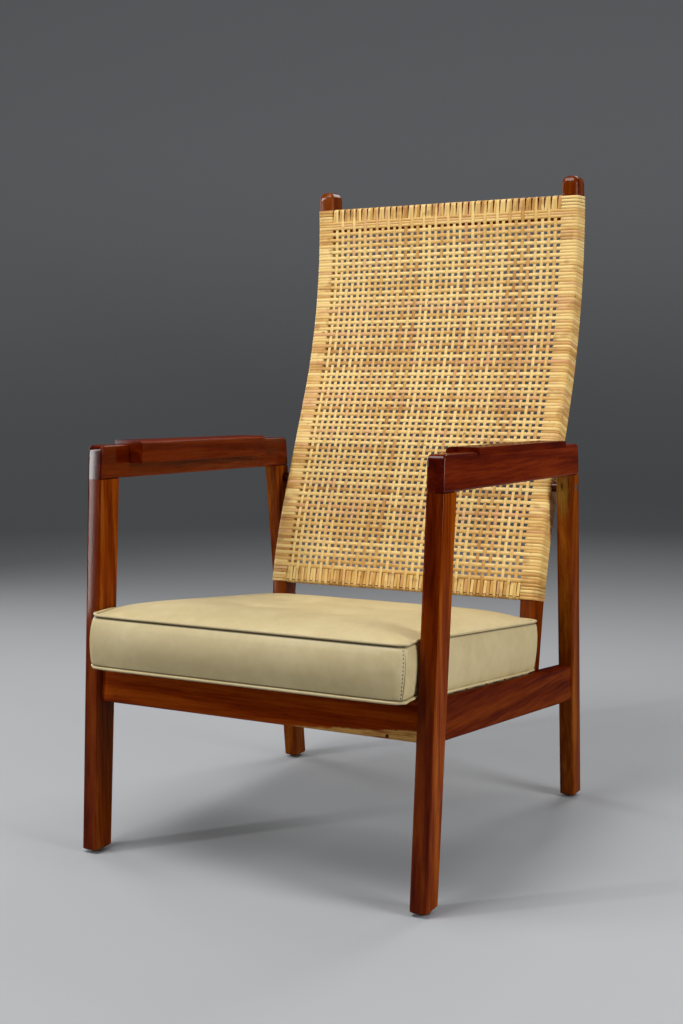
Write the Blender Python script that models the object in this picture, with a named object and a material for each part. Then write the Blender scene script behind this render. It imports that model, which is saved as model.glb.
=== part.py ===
"""Lounge chair: solid wood frame, bent back stiles with woven cane, strapped seat and a loose cushion.

Metres, +Z up.  +Y is the back of the chair, +X is the sitter's left.
The origin lies on the floor under the middle of the chair.
"""
import bpy
import bmesh
from collections import namedtuple
from math import cos
from math import pi
from math import radians
from math import sin
from math import tan
from mathutils import Matrix
from mathutils import Vector

# Gap left between two pieces that touch
FIT = 0.0003

# Legs: the front face at the foot, how far that face moves back up to the arm, and the depths
FRONT_FOOT_Y = -0.3475
FRONT_RAKE = 0.0342
FRONT_FOOT_DEPTH = 0.0390
FRONT_TOP_DEPTH = 0.0453
REAR_FOOT_Y = 0.2505
REAR_RAKE = -0.0590
REAR_FOOT_DEPTH = 0.0353
REAR_TOP_DEPTH = 0.0406
FOOT_HALF_WIDTH = 0.2805
LEG_SPLAY = 0.0055
LEG_THICKNESS = 0.0258
LEG_EDGE_RADIUS = 0.0040
LEG_FOOT_EASE = 0.0015
LEG_TENON_THICKNESS = 0.0100
LEG_TENON_WIDTH = 0.0220
LEG_TENON_LENGTH = 0.0240

# Glides under the feet
GLIDE_HEIGHT = 0.0050
GLIDE_RADIUS = 0.0095
GLIDE_SOLE_RADIUS = 0.0085
GLIDE_SOLE_HEIGHT = 0.0015
GLIDE_NAIL_RADIUS = 0.0016
GLIDE_NAIL_LENGTH = 0.0180

# Arm rails, and the L-shaped pads let into their tops
ARM_FRONT_UNDERSIDE = 0.5534
ARM_DROP = 0.0072
ARM_HEIGHT = 0.0500
ARM_END_RADIUS = 0.0080
ARM_EDGE_RADIUS = 0.0035
PAD_LENGTH = 0.3570
PAD_END_MARGIN = 0.0680
PAD_WIDTH = 0.0505
PAD_PROUD = 0.0060
PAD_SUNK = 0.0040
PAD_WEB_HEIGHT = 0.0340
PAD_EDGE_RADIUS = 0.0070
PAD_ARRIS = 0.0012
PAD_RECESS_SPARE = 0.0080
PAD_DOWEL_RADIUS = 0.0030
PAD_DOWEL_IN_ARM = 0.0150
PAD_DOWEL_IN_PAD = 0.0060
PAD_DOWEL_FROM_END = 0.0600

# Seat rails: their tops lie in one plane that falls to the rear
SEAT_HEIGHT = 0.2840
SEAT_SLOPE = radians(5.65)
RAIL_HEIGHT = 0.0590
SIDE_RAIL_THICKNESS = 0.0225
SIDE_RAIL_INSET = 0.0034
SIDE_TENON_LENGTH = 0.0110
CROSS_RAIL_THICKNESS = 0.0220
FRONT_RAIL_SETBACK = 0.0123
FRONT_TENON_LENGTH = 0.0150
REAR_TENON_LENGTH = 0.0110
REAR_RAIL_GAP = 0.0250
RAIL_TENON_THICKNESS = 0.0090
RAIL_TENON_HEIGHT = 0.0340
RAIL_EDGE_RADIUS = 0.0030

# Back stiles: the front of the cane follows a bend, a straight and a bend the other way
BACK_START_Y = 0.1464
BACK_START_Z = 0.3465
LOWER_LEAN = radians(11.5)
MIDDLE_LEAN = radians(21.9)
UPPER_LEAN = radians(-2.4)
LOWER_BEND_RADIUS = 0.8180
UPPER_BEND_RADIUS = 0.8030
MIDDLE_STRAIGHT = 0.2004
STILE_WIDTH = 0.0290
STILE_DEPTH = 0.0400
STILE_EDGE_RADIUS = 0.0060
POST_HEIGHT = 0.0310
POST_ROUNDING = 0.0140
POST_DRAW_IN = 0.0083
TAIL_LEAN = radians(4.0)
TAIL_END_DEPTH = 0.0240
TAIL_BELOW_BOLT = 0.0220
BACK_SIDE_GAP = 0.0144
CANE_THICKNESS = 0.0020

# Rails between the stiles, and the cane panel woven as an open net
TOP_RAIL_HEIGHT = 0.0400
BOTTOM_RAIL_HEIGHT = 0.0260
BACK_RAIL_DEPTH = 0.0220
BACK_TENON_LENGTH = 0.0140
BACK_TENON_THICKNESS = 0.0110
BACK_TENON_SHOULDER = 0.0050
NET_COLUMNS = 11
NET_ROWS = 18
NET_BAR = 0.0170

# Bolts that carry the back: the upper ones enter from outside, the lower ones from inside
BOLT_RADIUS = 0.0030
BOLT_HEAD_RADIUS = 0.0055
BOLT_HEAD_HEIGHT = 0.0030
BOLT_IN_STILE = 0.0200
BOLT_IN_RAIL = 0.0150
UPPER_BOLT_DROP = 0.0210
UPPER_BOLT_SETBACK = 0.0030
SPACER_RADIUS = 0.0080

# Webbing straps in a rebate along the inner top edge of the side rails
STRAP_COUNT = 5
STRAP_WIDTH = 0.0500
STRAP_THICKNESS = 0.0030
STRAP_BEARING = 0.0130
REBATE_SPARE = 0.0080
TACK_HEAD_RADIUS = 0.0050
TACK_HEAD_HEIGHT = 0.0010
TACK_SHANK_RADIUS = 0.0013
TACK_LENGTH = 0.0160
TACK_FROM_END = 0.0065

# Loose cushion: boxed sides, piped seams, a crown and two rows of two sewn tufts
CUSHION_SIDE_GAP = 0.0010
CUSHION_REAR_GAP = 0.0020
CUSHION_OVERHANG = 0.0374
CUSHION_BOXING = 0.0770
CUSHION_CROWN = 0.0170
CUSHION_DRAW_IN = 0.0015
CUSHION_BULGE = 0.0030
CUSHION_CORNER_PULL = 0.0100
CROWN_FLATNESS = 4
CORNER_SHARPNESS = 10
BOXING_LOW_ROW = 0.30
CUSHION_GRID = 18
TUFT_DEPTH = 0.0120
TUFT_RADIUS = 0.0400
TUFT_SPACING_X = 0.1350
TUFT_SPACING_Y = 0.1550
PIPING_RADIUS = 0.0022

# Finishes: colour, roughness, metallic
Finish = namedtuple("Finish", "colour roughness metallic")
WOOD = Finish((0.30, 0.095, 0.030), 0.35, 0.0)
DARK_WOOD = Finish((0.17, 0.045, 0.018), 0.32, 0.0)
CANE = Finish((0.72, 0.50, 0.20), 0.55, 0.0)
LEATHER = Finish((0.62, 0.53, 0.30), 0.50, 0.0)
WEBBING = Finish((0.10, 0.07, 0.05), 0.80, 0.0)
STEEL = Finish((0.60, 0.60, 0.58), 0.30, 1.0)
BRASS = Finish((0.70, 0.52, 0.22), 0.35, 1.0)
BLACK_PLASTIC = Finish((0.02, 0.02, 0.02), 0.50, 0.0)
BEECH = Finish((0.62, 0.45, 0.28), 0.60, 0.0)

LEFT = 1
RIGHT = -1
SIDE_NAMES = {LEFT: "left", RIGHT: "right"}

LegShape = namedtuple("LegShape", "foot_y rake foot_depth top_depth")
FRONT_LEG = LegShape(FRONT_FOOT_Y, FRONT_RAKE, FRONT_FOOT_DEPTH, FRONT_TOP_DEPTH)
REAR_LEG = LegShape(REAR_FOOT_Y, REAR_RAKE, REAR_FOOT_DEPTH, REAR_TOP_DEPTH)

# How finely curves are followed, and how often a crossing point is refined
STATION_STEP = 0.0350
CORNER_STEPS = 4
ROUND_SIDES = 12
SHARP_ANGLE = radians(40)
PASSES = 6


# Pieces and shapes

def add_material(obj, finish):
    """Give the piece a material of its own."""
    material = bpy.data.materials.new(obj.name)
    material.use_nodes = True
    shader = material.node_tree.nodes["Principled BSDF"]
    shader.inputs["Base Color"].default_value = (*finish.colour, 1.0)
    shader.inputs["Roughness"].default_value = finish.roughness
    shader.inputs["Metallic"].default_value = finish.metallic
    obj.data.materials.append(material)


def add_piece(name, bm, finish, origin=None, parent=None):
    """Turn a closed mesh in world coordinates into a named piece with its origin at a given point."""
    bmesh.ops.recalc_face_normals(bm, faces=bm.faces)
    if origin is None:
        origin = sum((v.co for v in bm.verts), Vector()) / len(bm.verts)
    origin = Vector(origin)
    bmesh.ops.translate(bm, verts=bm.verts, vec=-origin)
    mesh = bpy.data.meshes.new(name)
    bm.to_mesh(mesh)
    bm.free()
    mesh.shade_smooth()
    mesh.set_sharp_from_angle(angle=SHARP_ANGLE)
    obj = bpy.data.objects.new(name, mesh)
    bpy.context.collection.objects.link(obj)
    obj.location = origin
    if parent is not None:
        obj.parent = parent
        obj.location = origin - parent.location
    add_material(obj, finish)
    return obj


def add_tool(name, bm):
    """A hidden solid that cuts a piece or is joined to it."""
    bmesh.ops.recalc_face_normals(bm, faces=bm.faces)
    mesh = bpy.data.meshes.new(name)
    bm.to_mesh(mesh)
    bm.free()
    obj = bpy.data.objects.new(name, mesh)
    bpy.context.collection.objects.link(obj)
    obj.hide_render = True
    obj.display_type = "WIRE"
    return obj


def combine(piece, tool, operation):
    """Cut a piece with a tool, or join the tool to it."""
    modifier = piece.modifiers.new(tool.name, "BOOLEAN")
    modifier.operation = operation
    modifier.solver = "EXACT"
    modifier.object = tool


def cut(piece, bm):
    combine(piece, add_tool(piece.name + "_cut", bm), "DIFFERENCE")


def join(piece, bm):
    combine(piece, add_tool(piece.name + "_join", bm), "UNION")


def loft(rings, closed=False):
    """Skin a row of rings with the same number of points, capped at both ends unless closed."""
    bm = bmesh.new()
    loops = [[bm.verts.new(point) for point in ring] for ring in rings]
    count = len(loops[0])
    pairs = list(zip(loops, loops[1:]))
    if closed:
        pairs.append((loops[-1], loops[0]))
    for lower, upper in pairs:
        for i in range(count):
            j = (i + 1) % count
            bm.faces.new((lower[i], lower[j], upper[j], upper[i]))
    if not closed:
        bm.faces.new(loops[0])
        bm.faces.new(loops[-1])
    return bm


def rounded_rectangle(low_a, high_a, low_b, high_b, radius, steps=CORNER_STEPS):
    """Outline of a rectangle in two coordinates with rounded corners."""
    corners = (
        (high_a - radius, high_b - radius, 0.0),
        (low_a + radius, high_b - radius, pi / 2),
        (low_a + radius, low_b + radius, pi),
        (high_a - radius, low_b + radius, 3 * pi / 2),
    )
    points = []
    for centre_a, centre_b, start in corners:
        for i in range(steps + 1):
            angle = start + (pi / 2) * i / steps
            points.append((centre_a + radius * cos(angle), centre_b + radius * sin(angle)))
    return points


def block(centre, size, tilt=0.0):
    """A box, its top turned towards +Y by tilt."""
    bm = bmesh.new()
    bmesh.ops.create_cube(bm, size=1.0)
    turn = Matrix.Rotation(-tilt, 4, "X")
    bmesh.ops.transform(bm, matrix=Matrix.Translation(centre) @ turn @ Matrix.Diagonal((*size, 1.0)),
                        verts=bm.verts)
    return bm


def turned(profile, start, direction, sides=ROUND_SIDES):
    """A round piece: profile is a row of (distance along the axis, radius)."""
    start = Vector(start)
    axis = Vector(direction).normalized()
    across = axis.orthogonal().normalized()
    other = axis.cross(across)
    rings = []
    for distance, radius in profile:
        ring = []
        for i in range(sides):
            angle = 2 * pi * i / sides
            ring.append(start + axis * distance + (across * cos(angle) + other * sin(angle)) * radius)
        rings.append(ring)
    return loft(rings)


def rod(start, direction, length, radius, sides=ROUND_SIDES):
    return turned(((0.0, radius), (length, radius)), start, direction, sides)


# Where the frame's faces lie

def arm_underside(y):
    front = FRONT_LEG.foot_y + FRONT_LEG.rake
    rear = REAR_LEG.foot_y + REAR_LEG.rake + REAR_LEG.top_depth
    return ARM_FRONT_UNDERSIDE - ARM_DROP * (y - front) / (rear - front)


def leg_share(z):
    """Height up a leg, from 0 at the foot to 1 at the arm."""
    return (z - GLIDE_HEIGHT) / (ARM_FRONT_UNDERSIDE - GLIDE_HEIGHT)


def leg_front(leg, z):
    return leg.foot_y + leg.rake * leg_share(z)


def leg_depth(leg, z):
    return leg.foot_depth + (leg.top_depth - leg.foot_depth) * leg_share(z)


def leg_rear(leg, z):
    return leg_front(leg, z) + leg_depth(leg, z)


def leg_outer(z):
    return FOOT_HALF_WIDTH + LEG_SPLAY * leg_share(z)


def leg_inner(z):
    return leg_outer(z) - LEG_THICKNESS


def seat_z(y):
    """Height of the plane on which the cushion lies."""
    return SEAT_HEIGHT - (y - FRONT_LEG.foot_y - FRONT_LEG.foot_depth) * tan(SEAT_SLOPE)


ARM_OUTER = leg_outer(ARM_FRONT_UNDERSIDE)
ARM_INNER = ARM_OUTER - LEG_THICKNESS
SIDE_RAIL_OUTER = leg_outer(SEAT_HEIGHT - RAIL_HEIGHT) - SIDE_RAIL_INSET
SIDE_RAIL_INNER = SIDE_RAIL_OUTER - SIDE_RAIL_THICKNESS
STILE_OUTER = leg_inner(ARM_FRONT_UNDERSIDE) - BACK_SIDE_GAP
STILE_INNER = STILE_OUTER - STILE_WIDTH

# The back line: arc lengths of its three stretches, and depths behind the front of the cane
LOWER_ARC = LOWER_BEND_RADIUS * (MIDDLE_LEAN - LOWER_LEAN)
UPPER_ARC = UPPER_BEND_RADIUS * (MIDDLE_LEAN - UPPER_LEAN)
BACK_LENGTH = LOWER_ARC + MIDDLE_STRAIGHT + UPPER_ARC
STILE_FRONT = CANE_THICKNESS + FIT
STILE_REAR = STILE_FRONT + STILE_DEPTH


def arc_step(y, z, lean, length, bend):
    """Follow an arc of the back line; bend is the change of lean per metre."""
    end = lean + bend * length
    if bend == 0.0:
        return y + length * sin(lean), z + length * cos(lean), end
    return y + (cos(lean) - cos(end)) / bend, z + (sin(end) - sin(lean)) / bend, end


def back_line(s):
    """Point and lean at arc length s up the front of the cane."""
    stretches = (
        (LOWER_ARC, 1 / LOWER_BEND_RADIUS),
        (MIDDLE_STRAIGHT, 0.0),
        (UPPER_ARC, -1 / UPPER_BEND_RADIUS),
    )
    y, z, lean = BACK_START_Y, BACK_START_Z, LOWER_LEAN
    left = s
    for length, bend in stretches:
        part = min(left, length)
        y, z, lean = arc_step(y, z, lean, part, bend)
        left -= part
    return arc_step(y, z, lean, left, 0.0)


def behind_back(s, depth):
    """Point at a depth behind the front of the cane."""
    y, z, lean = back_line(s)
    return y + depth * cos(lean), z - depth * sin(lean)


def back_stations(low, high, step=STATION_STEP):
    """Arc lengths from low to high, close enough together to follow the bends."""
    count = max(2, round((high - low) / step))
    return [low + (high - low) * i / count for i in range(count + 1)]


def tail_front(z):
    top_y, top_z = behind_back(0.0, STILE_FRONT)
    return top_y - (top_z - z) * tan(TAIL_LEAN)


def upper_bolt():
    """Below the arm, just behind the middle of the rear leg."""
    y = REAR_LEG.foot_y
    for _ in range(PASSES):
        z = arm_underside(y) - UPPER_BOLT_DROP
        y = leg_front(REAR_LEG, z) + leg_depth(REAR_LEG, z) / 2 + UPPER_BOLT_SETBACK
    return y, z


def lower_bolt():
    """In the stile's tail, half way up the side rail."""
    y = BACK_START_Y
    for _ in range(PASSES):
        z = seat_z(y) - RAIL_HEIGHT / 2
        y = tail_front(z) + TAIL_END_DEPTH / 2
    return y, z


UPPER_BOLT = upper_bolt()
LOWER_BOLT = lower_bolt()
TAIL_END_Z = LOWER_BOLT[1] - TAIL_BELOW_BOLT


# Legs, glides and arms

def leg_top_tenon(leg, grow, root):
    """The tenon from a leg's top into the arm rail; root is how far it starts below the joint."""
    top = ARM_FRONT_UNDERSIDE
    y = leg_front(leg, top) + leg_depth(leg, top) / 2
    joint = arm_underside(y)
    height = LEG_TENON_LENGTH + grow + root
    size = (LEG_TENON_THICKNESS + 2 * grow, LEG_TENON_WIDTH + 2 * grow, height)
    return Vector(((ARM_OUTER + ARM_INNER) / 2, y, joint - root + height / 2)), size


def mirrored(point, side):
    return Vector((point[0] * side, point[1], point[2]))


def leg_outline(leg, z, ease=0.0):
    return rounded_rectangle(leg_inner(z) + ease, leg_outer(z) - ease,
                             leg_front(leg, z) + ease, leg_rear(leg, z) - ease, LEG_EDGE_RADIUS)


def build_leg(side, place, leg):
    """A tapered, raked leg with a tenon on top, and the glide nailed under it."""
    bottom = GLIDE_HEIGHT + FIT
    top = arm_underside(leg_front(leg, ARM_FRONT_UNDERSIDE)) - FIT
    eased = bottom + LEG_FOOT_EASE
    rings = [[Vector((side * x, y, bottom)) for x, y in leg_outline(leg, bottom, LEG_FOOT_EASE)],
             [Vector((side * x, y, eased)) for x, y in leg_outline(leg, eased)],
             [Vector((side * x, y, arm_underside(y) - FIT)) for x, y in leg_outline(leg, top)]]
    foot_x = side * (leg_outer(bottom) - LEG_THICKNESS / 2)
    foot_y = leg_front(leg, bottom) + leg_depth(leg, bottom) / 2
    piece = add_piece(f"{SIDE_NAMES[side]}_{place}_leg", loft(rings), WOOD, (foot_x, foot_y, bottom))
    centre, size = leg_top_tenon(leg, 0.0, LEG_TENON_LENGTH / 2)
    join(piece, block(mirrored(centre, side), size))

    nail_hole = GLIDE_NAIL_LENGTH + 2 * FIT
    cut(piece, rod((foot_x, foot_y, bottom - FIT), (0, 0, 1), nail_hole, GLIDE_NAIL_RADIUS + FIT, 8))
    glide = (
        (0.0, GLIDE_SOLE_RADIUS),
        (GLIDE_SOLE_HEIGHT, GLIDE_RADIUS),
        (GLIDE_HEIGHT, GLIDE_RADIUS),
        (GLIDE_HEIGHT, GLIDE_NAIL_RADIUS),
        (GLIDE_HEIGHT + GLIDE_NAIL_LENGTH, GLIDE_NAIL_RADIUS),
    )
    sole = (foot_x, foot_y, 0.0)
    add_piece(f"{SIDE_NAMES[side]}_{place}_glide", turned(glide, sole, (0, 0, 1)), BLACK_PLASTIC, sole)
    return piece


def arm_ends(z):
    """Front and rear of an arm rail, in line with the faces of the legs below."""
    return leg_front(FRONT_LEG, z), leg_rear(REAR_LEG, z)


def pad_span(side):
    """The two arms are one pattern, turned end for end: the pad lies near the front of the right arm."""
    front, rear = arm_ends(ARM_FRONT_UNDERSIDE)
    if side == RIGHT:
        return front + PAD_END_MARGIN, front + PAD_END_MARGIN + PAD_LENGTH
    return rear - PAD_END_MARGIN - PAD_LENGTH, rear - PAD_END_MARGIN


def pad_dowel_spots(side):
    low, high = pad_span(side)
    return low + PAD_DOWEL_FROM_END, high - PAD_DOWEL_FROM_END


def build_arm(side):
    """An arm rail with its rounded ends, the recess for its pad and the mortises for the legs."""
    low_front, low_rear = arm_ends(ARM_FRONT_UNDERSIDE)
    top_front, top_rear = arm_ends(ARM_FRONT_UNDERSIDE + ARM_HEIGHT)
    bm = bmesh.new()
    corners = ((low_front, 0.0), (low_rear, 0.0), (top_rear, ARM_HEIGHT), (top_front, ARM_HEIGHT))
    outer = [bm.verts.new((side * ARM_OUTER, y, arm_underside(y) + up)) for y, up in corners]
    inner = [bm.verts.new((side * ARM_INNER, y, arm_underside(y) + up)) for y, up in corners]
    bm.faces.new(outer)
    bm.faces.new(inner)
    for i in range(4):
        j = (i + 1) % 4
        bm.faces.new((outer[i], outer[j], inner[j], inner[i]))
    bmesh.ops.recalc_face_normals(bm, faces=bm.faces)
    end_edges = [bm.edges.get((outer[i], inner[i])) for i in (2, 3)]
    bmesh.ops.bevel(bm, geom=end_edges, offset=ARM_END_RADIUS, segments=CORNER_STEPS, profile=0.5,
                    affect="EDGES")
    long_edges = [e for e in bm.edges if abs(e.verts[0].co.x - e.verts[1].co.x) < FIT]
    bmesh.ops.bevel(bm, geom=long_edges, offset=ARM_EDGE_RADIUS, segments=CORNER_STEPS, profile=0.5,
                    affect="EDGES")
    middle = (low_front + low_rear) / 2
    piece = add_piece(f"{SIDE_NAMES[side]}_arm_rail", bm, DARK_WOOD,
                      (side * (ARM_OUTER + ARM_INNER) / 2, middle, arm_underside(middle)))

    for leg in (FRONT_LEG, REAR_LEG):
        centre, size = leg_top_tenon(leg, FIT, ARM_HEIGHT / 4)
        cut(piece, block(mirrored(centre, side), size))
    low, high = pad_span(side)
    if side == LEFT:
        low -= PAD_RECESS_SPARE
    else:
        high += PAD_RECESS_SPARE
    floor, ceiling = ARM_HEIGHT - PAD_SUNK - FIT, 2 * ARM_HEIGHT
    wide, narrow = ARM_OUTER + LEG_THICKNESS, ARM_INNER - LEG_THICKNESS
    section = ((narrow, floor), (wide, floor), (wide, ceiling), (narrow, ceiling))
    cut(piece, along_arm(side, section, low - FIT, high + FIT))
    for y in pad_dowel_spots(side):
        spot = dowel_foot(side, y)
        cut(piece, rod(spot - Vector((0, 0, FIT)), (0, 0, 1), ARM_HEIGHT, PAD_DOWEL_RADIUS + FIT, 10))
    return piece


def along_arm(side, section, low, high):
    """A solid along an arm, from its section as (x, height above the arm's underside)."""
    rings = [[Vector((side * x, y, arm_underside(y) + up)) for x, up in section] for y in (low, high)]
    return loft(rings)


def dowel_foot(side, y):
    """Lower end of a pad dowel."""
    x = side * (ARM_OUTER + ARM_INNER) / 2
    return Vector((x, y, arm_underside(y) + ARM_HEIGHT - PAD_SUNK - PAD_DOWEL_IN_ARM))


def build_pad(side):
    """The L-shaped pad: a flange in the arm's recess and a web down the inside of the arm."""
    inner = ARM_OUTER - PAD_WIDTH
    top = ARM_HEIGHT + PAD_PROUD
    web = ARM_INNER - FIT
    sunk = ARM_HEIGHT - PAD_SUNK
    outline = [(ARM_OUTER, sunk), (ARM_OUTER, top - PAD_ARRIS), (ARM_OUTER - PAD_ARRIS, top)]
    for i in range(CORNER_STEPS + 1):
        angle = pi / 2 + (pi / 2) * i / CORNER_STEPS
        outline.append((inner + PAD_EDGE_RADIUS * (1 + cos(angle)), top + PAD_EDGE_RADIUS * (sin(angle) - 1)))
    foot = top - PAD_WEB_HEIGHT
    outline += [(inner, foot + PAD_ARRIS), (inner + PAD_ARRIS, foot), (web, foot), (web, sunk)]
    piece = add_piece(f"{SIDE_NAMES[side]}_arm_pad", along_arm(side, outline, *pad_span(side)), DARK_WOOD)
    for y in pad_dowel_spots(side):
        length = PAD_DOWEL_IN_ARM + PAD_DOWEL_IN_PAD + FIT
        cut(piece, rod(dowel_foot(side, y), (0, 0, 1), length, PAD_DOWEL_RADIUS + FIT, 10))
    return piece


def build_pad_dowels(side):
    length = PAD_DOWEL_IN_ARM + PAD_DOWEL_IN_PAD
    for end, y in zip(("front", "rear"), pad_dowel_spots(side)):
        foot = dowel_foot(side, y)
        dowel = rod(foot, (0, 0, 1), length, PAD_DOWEL_RADIUS, 10)
        add_piece(f"{SIDE_NAMES[side]}_{end}_pad_dowel", dowel, BEECH, foot)


# Seat rails and straps

def meet(face, height):
    """Where a leaning face, y as a function of z, meets a line, z as a function of y."""
    y = face(SEAT_HEIGHT)
    for _ in range(PASSES):
        y = face(height(y))
    return y


def side_rail_end(leg, up):
    """Y of a side rail's end at a height above its underside."""
    if leg is FRONT_LEG:
        return meet(lambda z: leg_rear(leg, z) + FIT, lambda y: seat_z(y) - RAIL_HEIGHT + up)
    return meet(lambda z: leg_front(leg, z) - FIT, lambda y: seat_z(y) - RAIL_HEIGHT + up)


def side_tenon(leg, grow, root):
    """The tenon on a side rail's end."""
    y = side_rail_end(leg, RAIL_HEIGHT / 2)
    length = SIDE_TENON_LENGTH + grow + root
    outward = -1 if leg is FRONT_LEG else 1
    middle = y + outward * (length / 2 - root) * cos(SEAT_SLOPE)
    x = (SIDE_RAIL_OUTER + SIDE_RAIL_INNER) / 2
    centre = Vector((x, middle, seat_z(middle) - RAIL_HEIGHT / 2))
    return centre, (RAIL_TENON_THICKNESS + 2 * grow, length, RAIL_TENON_HEIGHT + 2 * grow)


STRAP_DEPTH = STRAP_THICKNESS + TACK_HEAD_HEIGHT + FIT
REBATE_DEPTH = STRAP_DEPTH + FIT


def front_rail_face(z):
    return leg_front(FRONT_LEG, z) + FRONT_RAIL_SETBACK


FRONT_RAIL_Y = meet(front_rail_face, lambda y: seat_z(y) - RAIL_HEIGHT / 2) + CROSS_RAIL_THICKNESS / 2
REAR_RAIL_Y = tail_front(LOWER_BOLT[1]) - REAR_RAIL_GAP - CROSS_RAIL_THICKNESS / 2


def strap_spots():
    """Middles of the straps, evenly spaced between the front and the rear rail."""
    low = FRONT_RAIL_Y + CROSS_RAIL_THICKNESS / 2
    high = REAR_RAIL_Y - CROSS_RAIL_THICKNESS / 2
    gap = ((high - low) - STRAP_COUNT * STRAP_WIDTH) / (STRAP_COUNT + 1)
    return [low + gap + STRAP_WIDTH / 2 + i * (STRAP_WIDTH + gap) for i in range(STRAP_COUNT)]


def seat_point(x, y, depth):
    """A point at a depth below the seat plane."""
    return Vector((x, y - depth * sin(SEAT_SLOPE), seat_z(y) - depth * cos(SEAT_SLOPE)))


def tack_point(side, strap_y):
    """Point of the clout nail that holds one end of a strap."""
    return seat_point(side * (SIDE_RAIL_INNER + STRAP_BEARING - TACK_FROM_END), strap_y, TACK_LENGTH)


SEAT_NORMAL = Vector((0, sin(SEAT_SLOPE), cos(SEAT_SLOPE)))


def rear_rail_tenon(grow, root):
    length = REAR_TENON_LENGTH + grow + root
    centre = seat_point(SIDE_RAIL_INNER + length / 2 - root, REAR_RAIL_Y, RAIL_HEIGHT / 2)
    return centre, (length, RAIL_TENON_THICKNESS + 2 * grow, RAIL_TENON_HEIGHT + 2 * grow)


def front_rail_tenon(grow, root):
    length = FRONT_TENON_LENGTH + grow + root
    centre = seat_point(leg_inner(SEAT_HEIGHT) + length / 2 - root, FRONT_RAIL_Y, RAIL_HEIGHT / 2)
    return centre, (length, RAIL_TENON_THICKNESS + 2 * grow, RAIL_TENON_HEIGHT + 2 * grow)


def build_side_rail(side):
    outline = rounded_rectangle(SIDE_RAIL_INNER, SIDE_RAIL_OUTER, 0.0, RAIL_HEIGHT, RAIL_EDGE_RADIUS)
    rings = []
    for leg in (FRONT_LEG, REAR_LEG):
        ring = []
        for x, up in outline:
            y = side_rail_end(leg, up)
            ring.append(Vector((side * x, y, seat_z(y) - RAIL_HEIGHT + up)))
        rings.append(ring)
    piece = add_piece(f"{SIDE_NAMES[side]}_side_rail", loft(rings), WOOD)
    for leg in (FRONT_LEG, REAR_LEG):
        centre, size = side_tenon(leg, 0.0, SIDE_TENON_LENGTH)
        join(piece, block(mirrored(centre, side), size, SEAT_SLOPE))

    spots = strap_spots()
    reach = (spots[-1] - spots[0]) / cos(SEAT_SLOPE) + STRAP_WIDTH + 2 * REBATE_SPARE
    width = 2 * (STRAP_BEARING + FIT)
    middle = seat_point(side * SIDE_RAIL_INNER, (spots[0] + spots[-1]) / 2, REBATE_DEPTH - RAIL_HEIGHT / 2)
    cut(piece, block(middle, (width, reach, RAIL_HEIGHT), SEAT_SLOPE))
    centre, size = rear_rail_tenon(FIT, REAR_TENON_LENGTH)
    cut(piece, block(mirrored(centre, side), size, SEAT_SLOPE))
    bolt_hole = BOLT_IN_RAIL + REAR_TENON_LENGTH
    start = Vector((side * (SIDE_RAIL_INNER - REAR_TENON_LENGTH), *LOWER_BOLT))
    cut(piece, rod(start, (side, 0, 0), bolt_hole + FIT, BOLT_RADIUS + FIT))
    for spot in spots:
        hole_end = tack_point(side, spot) - FIT * SEAT_NORMAL
        cut(piece, rod(hole_end, SEAT_NORMAL, TACK_LENGTH, TACK_SHANK_RADIUS + FIT, 6))
    return piece


def build_front_rail():
    """The front rail stands square to the seat plane, its ends against the leaning legs."""
    half = CROSS_RAIL_THICKNESS / 2
    outline = rounded_rectangle(-half, half, 0.0, RAIL_HEIGHT, RAIL_EDGE_RADIUS)
    rings = []
    for side in (RIGHT, LEFT):
        ring = []
        for across, depth in outline:
            point = seat_point(0.0, FRONT_RAIL_Y + across * cos(SEAT_SLOPE), depth)
            point.x = side * (leg_inner(point.z) - FIT)
            ring.append(point)
        rings.append(ring)
    piece = add_piece("front_seat_rail", loft(rings), WOOD)
    for side in (RIGHT, LEFT):
        centre, size = front_rail_tenon(0.0, FRONT_TENON_LENGTH)
        join(piece, block(mirrored(centre, side), size, SEAT_SLOPE))


def build_rear_rail():
    half = CROSS_RAIL_THICKNESS / 2
    outline = rounded_rectangle(-half, half, 0.0, RAIL_HEIGHT, RAIL_EDGE_RADIUS)
    rings = []
    for side in (RIGHT, LEFT):
        x = side * (SIDE_RAIL_INNER - FIT)
        rings.append([seat_point(x, REAR_RAIL_Y + across * cos(SEAT_SLOPE), depth)
                      for across, depth in outline])
    piece = add_piece("rear_seat_rail", loft(rings), WOOD)
    for side in (RIGHT, LEFT):
        centre, size = rear_rail_tenon(0.0, REAR_TENON_LENGTH)
        join(piece, block(mirrored(centre, side), size, SEAT_SLOPE))


def build_straps():
    size = (2 * (SIDE_RAIL_INNER + STRAP_BEARING), STRAP_WIDTH, STRAP_THICKNESS)
    profile = ((0.0, TACK_SHANK_RADIUS), (TACK_LENGTH - TACK_HEAD_HEIGHT, TACK_SHANK_RADIUS),
               (TACK_LENGTH - TACK_HEAD_HEIGHT, TACK_HEAD_RADIUS), (TACK_LENGTH, TACK_HEAD_RADIUS))
    for i, spot in enumerate(strap_spots()):
        centre = seat_point(0.0, spot, STRAP_DEPTH - STRAP_THICKNESS / 2)
        strap = add_piece(f"seat_strap_{i + 1}", block(centre, size, SEAT_SLOPE), WEBBING, centre)
        for side in (LEFT, RIGHT):
            foot = tack_point(side, spot)
            cut(strap, rod(foot, SEAT_NORMAL, TACK_LENGTH, TACK_SHANK_RADIUS + FIT, 6))
            tack = turned(profile, foot, SEAT_NORMAL, 8)
            add_piece(f"{SIDE_NAMES[side]}_strap_tack_{i + 1}", tack, BRASS, foot)


# Back

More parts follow.
